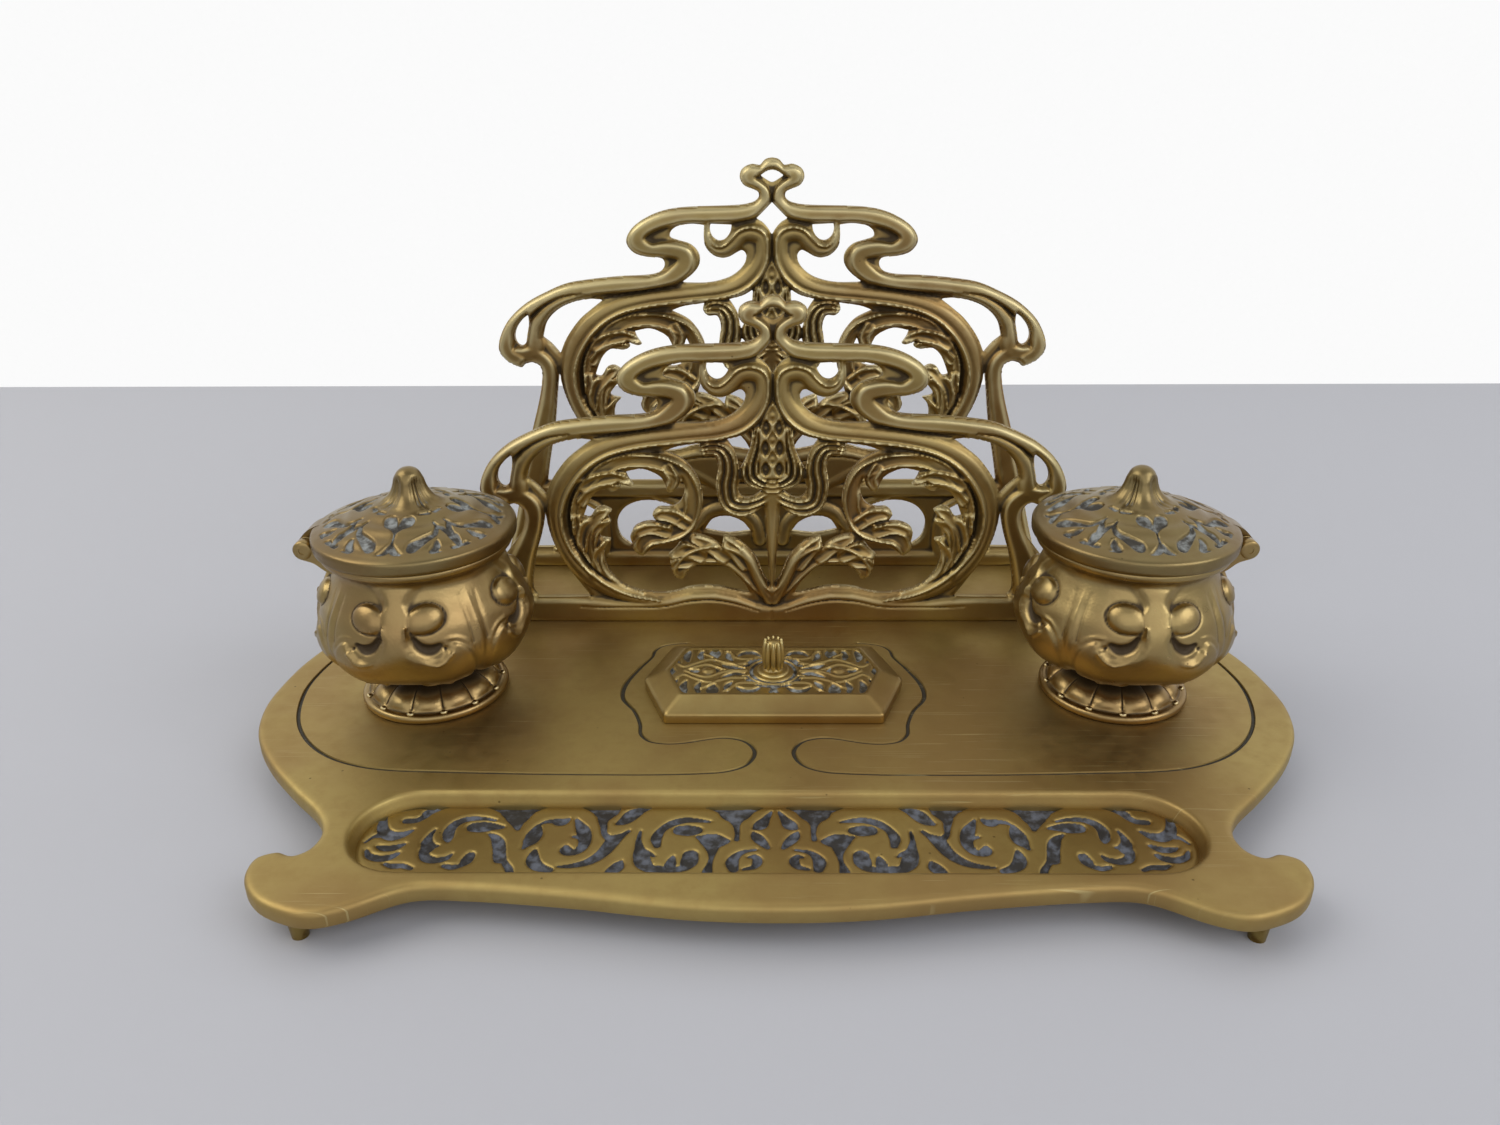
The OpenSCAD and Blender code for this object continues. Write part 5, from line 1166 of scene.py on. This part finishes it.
def make_bowls():
    quarter = bowl_relief()

    def in_pockets(co):
        turn = np.arctan2(co[:, 1] - ROW_Y, np.abs(co[:, 0]) - POT_X)
        return quarter.sample(quarter.dirt, from_stem(turn), co[:, 2] - BOWL_Z)

    def lift(r, z, turn):
        return quarter.sample(quarter.height, from_stem(turn), np.full(len(turn), z)) * min(1, r / 20)

    around = 300 if FINE else 160
    outer = raised_rings(smooth_path(BOWL_PROFILE, 0.36 if FINE else 0.7), around, BOWL_Z, lift)
    inner = lathe_rings([*smooth_path(BOWL_INSIDE, 1.2), (BOLT_HOLE_R, 0)], around, BOWL_Z)
    shape = Shape()
    shape.rings(outer + inner + outer[:1])
    for k in (-1, 1):
        knuckle(shape, k * KNUCKLE_Y - KNUCKLE_HALF, k * KNUCKLE_Y + KNUCKLE_HALF, BOWL_BLOCK)
    for name, side in SIDES.items():
        pot = shape.moved(side * POT_X, ROW_Y, mirrored=side < 0)
        piece = pot.piece(f"bowl_{name}_casting", pot_brass, sharp=50)
        mark_wear(piece, full=0.6, sunk=in_pockets,
                  level=lambda co: (np.abs(co[:, 0]) > POT_X + 22) & (co[:, 2] > 53))
        stands_for(piece, f"bowl_{name}", "stand")


make_bowls()

# ---------------------------------------------------------------- what stands in a ring, by Geometry Nodes


def ring_tree():
    """A node tree that stands beads in a ring. A bead's size is given outwards, round and upwards."""
    tree = bpy.data.node_groups.new("beads_in_a_ring", "GeometryNodeTree")
    for name, kind in (("Count", "Int"), ("Ring radius", "Float"), ("Bead size", "Vector"),
                       ("Middle", "Vector"), ("Turn", "Float"), ("Finish", "Material")):
        tree.interface.new_socket(name, in_out="INPUT", socket_type="NodeSocket" + kind)
    tree.interface.new_socket("Geometry", in_out="OUTPUT", socket_type="NodeSocketGeometry")
    given = add(tree, "NodeGroupInput").outputs
    ring = add(tree, "GeometryNodeMeshCircle", None,
               {"Vertices": given["Count"], "Radius": given["Ring radius"]}, "Mesh")
    bead = add(tree, "GeometryNodeMeshUVSphere", None, {"Segments": 14, "Rings": 10, "Radius": 1.0}, "Mesh")
    spot = add(tree, "GeometryNodeInputPosition", gives=0)
    facing = add(tree, "FunctionNodeAlignRotationToVector", {"axis": "X"}, {"Vector": spot}, 0)
    beads = add(tree, "GeometryNodeInstanceOnPoints", None, {
        "Points": ring, "Instance": bead, "Rotation": facing, "Scale": given["Bead size"]}, 0)
    turned = add(tree, "CombineXYZ", None, {"Z": given["Turn"]}, 0)
    moved = add(tree, "GeometryNodeTransform", None,
                {"Geometry": beads, "Translation": given["Middle"], "Rotation": turned}, 0)
    real = add(tree, "GeometryNodeRealizeInstances", None, {"Geometry": moved}, 0)
    smooth = add(tree, "GeometryNodeSetShadeSmooth", None, {"Geometry": real}, 0)
    dressed = add(tree, "GeometryNodeSetMaterial", None, {"Geometry": smooth, "Material": given["Finish"]}, 0)
    add(tree, "NodeGroupOutput", None, {"Geometry": dressed})
    return tree


RING_TREE = ring_tree()


def beads_in_a_ring(name, count, radius, size, middle, finish, turn=0.0):
    """A ring of beads as one plain mesh. Lengths in millimetres."""
    holder = placed(name + "_maker", bpy.data.meshes.new(name))
    maker = holder.modifiers.new("ring", "NODES")
    maker.node_group = RING_TREE
    given = {"Count": count, "Ring radius": radius * MM, "Bead size": [v * MM for v in size],
             "Middle": [v * MM for v in middle], "Turn": turn, "Finish": finish}
    for socket in RING_TREE.interface.items_tree:
        if socket.in_out == "INPUT":
            maker[socket.identifier] = given[socket.name]
    seen = bpy.context.evaluated_depsgraph_get()
    mesh = bpy.data.meshes.new_from_object(holder.evaluated_get(seen))
    bpy.data.objects.remove(holder)
    piece = placed(name, mesh)
    mark_wear(piece, full=0.5, rounds=6)
    return piece


# ---------------------------------------------------------------- pedestals of the pots

PEDESTAL_PROFILE = [[2.1, 0], [18.9, 0], [19.6, 0.2], [20, 0.8], [20, 1.6], [19.6, 2.2], [18.9, 2.5],
    [18.1, 2.5], [17.8, 2.8], [17.5, 3.4], [16.8, 4.6], [15.2, 6], [13, 7], [11, 7.5], [10.2, 7.8],
    [9.9, 8.3], [9.3, 8.7], [8.6, 8.9], [8.5, 9.4], [2.1, 9.4]]
LOBES = 13


def make_pedestals():
    turn = round_turn(312 if FINE else 130)
    wave = np.abs(np.cos(LOBES * turn / 2))
    rings = []
    for r, z in smooth_path(PEDESTAL_PROFILE, 0.4):
        lobe = ease((z - 2.7) / 1.2) * ease((8.3 - z) / 1.2) if r > 9 else 0
        lift = lobe * (1.15 * wave ** 0.5 - 0.85) * min(1, (r - 7) / 8)
        rings.append(np.column_stack([(r + lift * 0.7) * np.cos(turn), (r + lift * 0.7) * np.sin(turn),
                                      z + TRAY_TOP + lift * 0.6]))
    shape = Shape()
    shape.rings(rings + rings[:1])
    for name, side in SIDES.items():
        piece = shape.moved(side * POT_X, ROW_Y).piece(f"pedestal_{name}_casting", pot_brass, sharp=60)
        # The pedestal gets darker towards its top, where it meets the bowl: here sunk rises with height, not
        # with a pattern.
        mark_wear(piece, full=0.45, sunk=lambda co: 0.75 * ease((co[:, 2] - TRAY_TOP - 5) / 2.4))
        stands_for(piece, f"pedestal_{name}", "stand")
        notches = beads_in_a_ring(f"pedestal_{name}_beads", LOBES, 18.5, (0.8, 1.0, 0.7),
                                  (side * POT_X, ROW_Y, TRAY_TOP + 2.5), pot_brass, turn=math.pi / LOBES)
        stands_for(notches, f"pedestal_{name}", "stand")


make_pedestals()

# ---------------------------------------------------------------- pot lids

LID_PROFILE = [[23.2, 0], [25.2, 0], [26, 0.3], [26.4, 0.9], [26.5, 1.8], [26.5, 3.3], [26.2, 3.9],
    [25.5, 4.3], [24.4, 4.7], [21.8, 5.8], [19, 7], [16, 8.1], [13, 9.1], [9.2, 10.4], [6.4, 11.6],
    [4.8, 13.4], [4, 15.4], [3.6, 17.2], [2.8, 18.7], [1.5, 19.6], [0.05, 19.9]]
LID_INSIDE = [[0.05, 8.8], [7, 8.2], [13, 6.6], [19, 4.4], [22.6, 2.4], [23, 0.5], [23.2, 0]]
# Channels sunk in one eighth of the lid: x across, y out from the middle, width.
LID_SUNK = [[[0, 16, 0.9], [0.8, 14, 2.2], [1.9, 12.4, 3.4], [2.3, 11.4, 3.4]],
    [[0, 14.6, 0.8], [0, 17.6, 0.6], [0, 20, 0.8]],
    [[0, 19.6, 0.8], [0.2, 21, 1.8], [1.4, 22.4, 1.7], [2.8, 23, 0.8]],
    [[8.4, 10.6, 0.7], [9.6, 12.4, 1.1], [9.5, 14.8, 1.6], [7.6, 17.4, 2.6], [5.8, 19.6, 3.4],
     [5.2, 20.8, 2.8]],
    [[9.6, 11.8, 1], [11.8, 12.6, 1.7], [14.2, 13.9, 2.2], [16, 15.8, 1.5], [17, 16.6, 0.6]],
    [[10.6, 17, 0.8], [11, 18.8, 1.9], [10.4, 20.8, 1.7], [12.4, 20.4, 0.8]],
    [[15.2, 17.8, 1.9], [15.9, 17.2, 1.4]], [[4.6, 8.4, 1.2], [6.2, 7.6, 1.6]]]


def make_lids():
    top = Relief((-27, -27), (27, 27), 0.3 if FINE else 0.5, mirrored=False)
    eighths = [[[c * side * x + s * y, -c * y + s * side * x, w] for x, y, w in knots]
               for knots in LID_SUNK for c, s in ((1, 0), (0, 1), (-1, 0), (0, -1)) for side in (1, -1)]
    top.height = ease((top.within_any(eighths, step=0.4) + 0.15) / 0.6)

    def in_pattern(co):
        x, y = np.abs(co[:, 0]) - POT_X, co[:, 1] - ROW_Y
        ring = np.hypot(x, y)
        on_top = co[:, 2] - SEAT_Z > 12.2 - 0.37 * ring
        return top.sample(top.height, x, y) * (ring > 7) * (ring < 24) * on_top

    def lift(r, z, turn):
        """The sunk pattern and faint ripples on the dome, and the petals and flutes of the knob."""
        rise = np.zeros(len(turn))
        if z > 4.4 and r > 7:
            rise -= 0.85 * top.sample(top.height, r * np.cos(turn), r * np.sin(turn)) * ease((24.2 - r) / 0.8)
            rise += 0.12 * np.sin(r * 1.3) * ease((24 - r) / 2)
        if z > 10:
            petal = np.abs(np.cos(2 * turn))
            flute = ease((z - 10.2) / 1.6) * ease((18.4 - z) / 2.4)
            rise += flute * (1.35 * petal ** 1.4 - 1.0) * min(1, r / 4.4)
            rise += flute * 0.16 * np.cos(28 * turn) * (1 - petal) * min(1, r / 4)
        return rise

    around = 336 if FINE else 160
    outer = raised_rings(smooth_path(LID_PROFILE, 0.34 if FINE else 0.6), around, SEAT_Z, lift)
    inner = lathe_rings(smooth_path(LID_INSIDE, 1.4), around, SEAT_Z)
    shape = Shape()
    shape.rings(inner + outer)
    shape.caps(outer[-1], inner[0])
    knuckle(shape, -LID_KNUCKLE_HALF, LID_KNUCKLE_HALF, LID_BLOCK)
    for name, side in SIDES.items():
        lid = shape.moved(side * POT_X, ROW_Y, mirrored=side < 0)
        piece = lid.piece(f"lid_{name}_casting", lid_brass, sharp=50)
        mark_wear(piece, full=0.5, sunk=in_pattern,
                  level=lambda co: np.abs(co[:, 0]) > POT_X + 26.7)
        stands_for(piece, f"lid_{name}", f"pot_lid_{name}")


make_lids()

# ---------------------------------------------------------------- stamp box lid

# Sunk shapes and raised lines of the lid's face, one quarter: x, distance from the middle line, width.
STAMP_SUNK = [[[8.2, 1.4, 0.8], [10.6, 1.6, 2.2], [13.2, 2.8, 1.7], [14.4, 3.6, 0.6]],
    [[24.2, 5.4, 0.7], [24.8, 8, 2.2], [24.4, 10.4, 1.8], [24, 11.8, 0.6]],
    [[16.6, 5.6, 0.6], [16.8, 7.6, 1.8], [16.7, 10.2, 3.6], [16.7, 11.4, 2.4]],
    [[3.8, 8.8, 0.8], [5.6, 10.4, 1.9], [8.2, 10.4, 2], [10, 8.8, 0.8]],
    [[28.6, 0, 2.2], [29, 2, 1.4], [28.4, 4.2, 0.6]], [[11.6, 6, 0.8], [12.8, 8, 1.8], [12.8, 10.8, 1.2]],
    [[20.2, 6.2, 0.7], [20.9, 8.6, 1.9], [20.5, 11.2, 1.2]], [[21.6, 0, 1.7], [23.4, 0.6, 1]],
    [[0, 9.4, 1.8], [0.8, 11.2, 1.2]], [[15.4, 0, 1.2], [16, 1.6, 0.8]],
    [[26.8, 4.4, 0.8], [27.4, 7, 1.2], [26.8, 9, 0.6]]]
STAMP_LINES = [[[7.4, 0.2, 0.8], [10.8, -0.2, 0.9], [14.2, 0.8, 0.9], [18.4, 3.4, 1], [21.8, 2.2, 0.9],
     [24.6, 0.2, 0.8]], [[7.4, 4, 0.8], [11.4, 4, 0.9], [15, 5.2, 0.9], [17.8, 8, 0.9], [20, 9.6, 0.7]],
    [[10.4, 3, 0.7], [15, 5.4, 0.9], [18.2, 6.2, 1], [22, 4.2, 0.9], [25.2, 2.2, 0.9], [28, 6.2, 0.8],
     [26.6, 10.6, 0.7]], [[2, 7.8, 0.7], [6.4, 6.6, 0.9], [10, 7, 0.9], [12.2, 10, 0.8], [14, 11.6, 0.7]]]


def both_ways(strands):
    """The strands, and their mirror images across the middle line."""
    return [[[x, side * y, w] for x, y, w in knots] for knots in strands for side in (1, -1)]


def make_stamp_lid():
    top = 17.2
    shape = Shape()
    walls = [(6.2, 14.4), (6.2, 9.7), (6.1, 9.6), (4.5, 9.6), (4.4, 9.7), (4.4, 11.6), (0.3, 11.6),
             (0.05, 11.75), (0, 12), (0, 13.9), (0.12, 14.25), (0.45, 14.6), (1, 14.9), (5.3, 16.95),
             (5.7, 17.12), (6.1, top), (6.6, top), (6.8, 17.1), (6.9, 16.2)]
    shape.rings([at(hex_loop(d), z) for d, z in walls])
    shape.flat([hex_loop(6.2)], 14.4, up=False)

    face = Relief((0, -13.2), (31, 13.2), 0.3 if FINE else 0.5)
    deep = face.within(hex_loop(6.75) - [0, ROW_Y])
    face.inside = deep
    sunk = face.within_any(both_ways(STAMP_SUNK))
    ring = np.hypot(face.X, face.Z)
    sunk = np.maximum(sunk, 0.55 - np.abs(ring - 6.2))
    sunk = np.maximum(sunk, 0.9 - np.abs(ring - 8.2) - 2 * (np.abs(face.Z) < 2.5))
    pattern = ease((sunk + 0.15) / 0.5)

    def in_pattern(co):
        under = np.clip((top - 0.3 - co[:, 2]) / 0.4, 0, 1) * (co[:, 2] > 15.9)
        return face.sample(pattern, np.abs(co[:, 0]), co[:, 1] - ROW_Y) * under

    face.height = top - 0.15 - 0.85 * pattern
    for knots in both_ways(STAMP_LINES):
        line, t = face.along(knots)
        face.raise_to(top - 0.15 + 0.4 * section("round", t), line > 0)
    # a boss on each side of the knob
    near = np.hypot(face.X - 18.3, face.Z) / 1.7
    face.raise_to(top - 0.2 + 0.7 * np.sqrt(np.clip(1 - near ** 2, 0, 1)), near < 1)
    face.height = np.where(deep < 0.9, np.minimum(face.height, top - 0.1), face.height)
    face.soften()
    shape.cast(face, 15.4, lambda flat, height: np.column_stack([flat + [0, ROW_Y], height]))
    piece = shape.piece("stamp_lid_casting", stamp_brass, sharp=40)
    mark_wear(piece, full=0.5, sunk=in_pattern)
    stands_for(piece, "stamp_lid", "stamp_box_lid")

    stem = [[0.05, 12.2], [1.45, 12.2], [1.5, 16.8], [4.4, 16.9], [4.5, 17.3], [3.9, 17.7], [2.7, 18],
            [2.3, 18.8], [2.35, 22], [2.3, 25], [1.7, 26.3], [0.9, 26.8], [0.05, 26.9]]
    rings = lathe_rings(smooth_path(stem, 0.4), 64, 0)
    knob = Shape()
    knob.rings(rings)
    knob.caps(rings[-1], rings[0])
    piece = knob.moved(0, ROW_Y).piece("stamp_knob_turned", stamp_brass, sharp=50)
    mark_wear(piece, full=0.5, rounds=8)
    stands_for(piece, "stamp_knob", "stamp_box_lid")
    ribs = beads_in_a_ring("stamp_knob_ribs", 10, 2.35, (0.95, 0.78, 4.6), (0, ROW_Y, 22.4), stamp_brass,
                           turn=math.pi / 10)
    stands_for(ribs, "stamp_knob", "stamp_box_lid")


make_stamp_lid()

# ---------------------------------------------------------------- the solids that show as they are

for finish, names in (
        (turned_brass, "peg_front_left peg_front_right peg_rear_left peg_rear_right"),
        (turned_brass, "hinge_pin_left hinge_pin_right stamp_knob_nut"),
        (liner_glass, "liner_left liner_right"),
        (old_steel, "rack_front_screws rack_rear_screws pot_bolt_left pot_bolt_right"),
        (old_steel, "pot_washer_left pot_washer_right pot_nut_left pot_nut_right"),
        (tray_brass, "tray"),
        (pot_brass, "bowl_left bowl_right pedestal_left pedestal_right"),
        (lid_brass, "lid_left lid_right"),
        (stamp_brass, "stamp_lid stamp_knob")):
    for name in names.split():
        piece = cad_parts[name]
        piece.data.materials.clear()
        piece.data.materials.append(finish)

# ---------------------------------------------------------------- table, wall, light and camera


def table_paint():
    """Matt grey paint with a faint roller texture of 2 mm."""
    finish, tree, place = start_finish("grey_table_paint")
    speck = add(tree, "TexNoise", None, {"Vector": place, "Scale": 1 / (2 * MM), "Detail": 2.0}, "Fac")
    bump = add(tree, "Bump", None, {"Strength": 0.08, "Distance": 0.1 * MM, "Height": speck}, 0)
    tone = paint("#b1b1b5")
    surface = add(tree, "BsdfPrincipled", None, {"Base Color": tone, "Roughness": 0.5, "Normal": bump}, 0)
    add(tree, "OutputMaterial", None, {"Surface": surface})
    return finish


def looked_at(tree, *ways):
    """1 where one looks, directly or in one of the ways given, and 0 where a surface gathers light."""
    ray = add(tree, "LightPath").outputs
    looks = ray["Is Camera Ray"]
    for way in ways:
        looks = add(tree, "Math", MOST, {0: looks, 1: ray[way]}, 0)
    return looks


def wall_paint():
    """White paint that stays white to the eye, also in metal and through glass, and clear from behind."""
    finish, tree, place = start_finish("white_wall_paint")
    speck = add(tree, "TexNoise", None, {"Vector": place, "Scale": 1 / (2 * MM), "Detail": 2.0}, "Fac")
    tone = add(tree, "Mix", MIX, {0: speck, 6: paint("#fcfcfc"), 7: paint("#fafafa")}, 2)
    matt = add(tree, "BsdfDiffuse", None, {"Color": tone}, 0)
    glow = add(tree, "Emission", None, {"Color": tone, "Strength": 1.0}, 0)
    looks = looked_at(tree, "Is Glossy Ray", "Is Transmission Ray")
    surface = add(tree, "MixShader", None, {0: looks, 1: matt, 2: glow}, 0)
    clear = add(tree, "BsdfTransparent", None, None, 0)
    behind = add(tree, "NewGeometry", gives="Backfacing")
    surface = add(tree, "MixShader", None, {0: behind, 1: surface, 2: clear}, 0)
    add(tree, "OutputMaterial", None, {"Surface": surface})
    return finish


def stage_sheet(name, corners, finish):
    """A flat sheet that belongs to the stage and not to the object."""
    mesh = bpy.data.meshes.new(name)
    mesh.from_pydata(corners, [], [list(range(len(corners)))])
    mesh.materials.append(finish)
    placed(name, mesh)


REACH, WALL_Y, WALL_TOP = 3, 0.351, 2.4
stage_sheet("table_top", [(-REACH, -REACH, 0), (REACH, -REACH, 0), (REACH, REACH, 0), (-REACH, REACH, 0)],
            table_paint())
stage_sheet("white_wall", [(-REACH, WALL_Y, 0), (REACH, WALL_Y, 0), (REACH, WALL_Y, WALL_TOP),
                           (-REACH, WALL_Y, WALL_TOP)], wall_paint())


def area_lamp(name, place, size, power, tint):
    """A lamp of some width and height, turned to the middle of the stand."""
    lamp = bpy.data.lights.new(name, "AREA")
    lamp.shape, lamp.size, lamp.size_y = "RECTANGLE", size[0], size[1]
    lamp.energy = power
    lamp.color = paint(tint)[:3]
    holder = placed(name, lamp)
    holder.location = place
    holder.rotation_euler = (Vector((0, 0, 0.05)) - Vector(place)).to_track_quat("-Z", "Y").to_euler()


area_lamp("window_left", (-1.0, -0.1, 1.1), (1.2, 1.0), 9.5, "#fffdf8")
area_lamp("window_right", (1.2, -0.7, 1.0), (1.2, 1.0), 10.0, "#f6f9ff")
area_lamp("room_front", (0, -1.5, 0.8), (2.2, 1.2), 6.0, "#fbfbff")

world = bpy.data.worlds.new("room")
bpy.context.scene.world = world
world.use_nodes = True
tree = world.node_tree
tree.nodes.clear()
looks = looked_at(tree, "Is Transmission Ray")
air = add(tree, "Background", None, {"Color": paint("#e9ebee"), "Strength": 0.6}, 0)
white = add(tree, "Background", None, {"Color": paint("#fbfbfb"), "Strength": 1.0}, 0)
room = add(tree, "MixShader", None, {0: looks, 1: air, 2: white}, 0)
add(tree, "OutputWorld", None, {"Surface": room})

camera = bpy.data.cameras.new("camera")
camera.lens, camera.sensor_width = 27.05, 36
eye = placed("camera", camera)
eye.matrix_world = Matrix(((0.99994, 0.000735, 0.010944, -0.00303), (0.009639, 0.417265, -0.908734, -0.2781),
                           (-0.005234, 0.908785, 0.417233, 0.1771), (0, 0, 0, 1)))
bpy.context.scene.camera = eye
bpy.context.scene.view_settings.view_transform = "Standard"
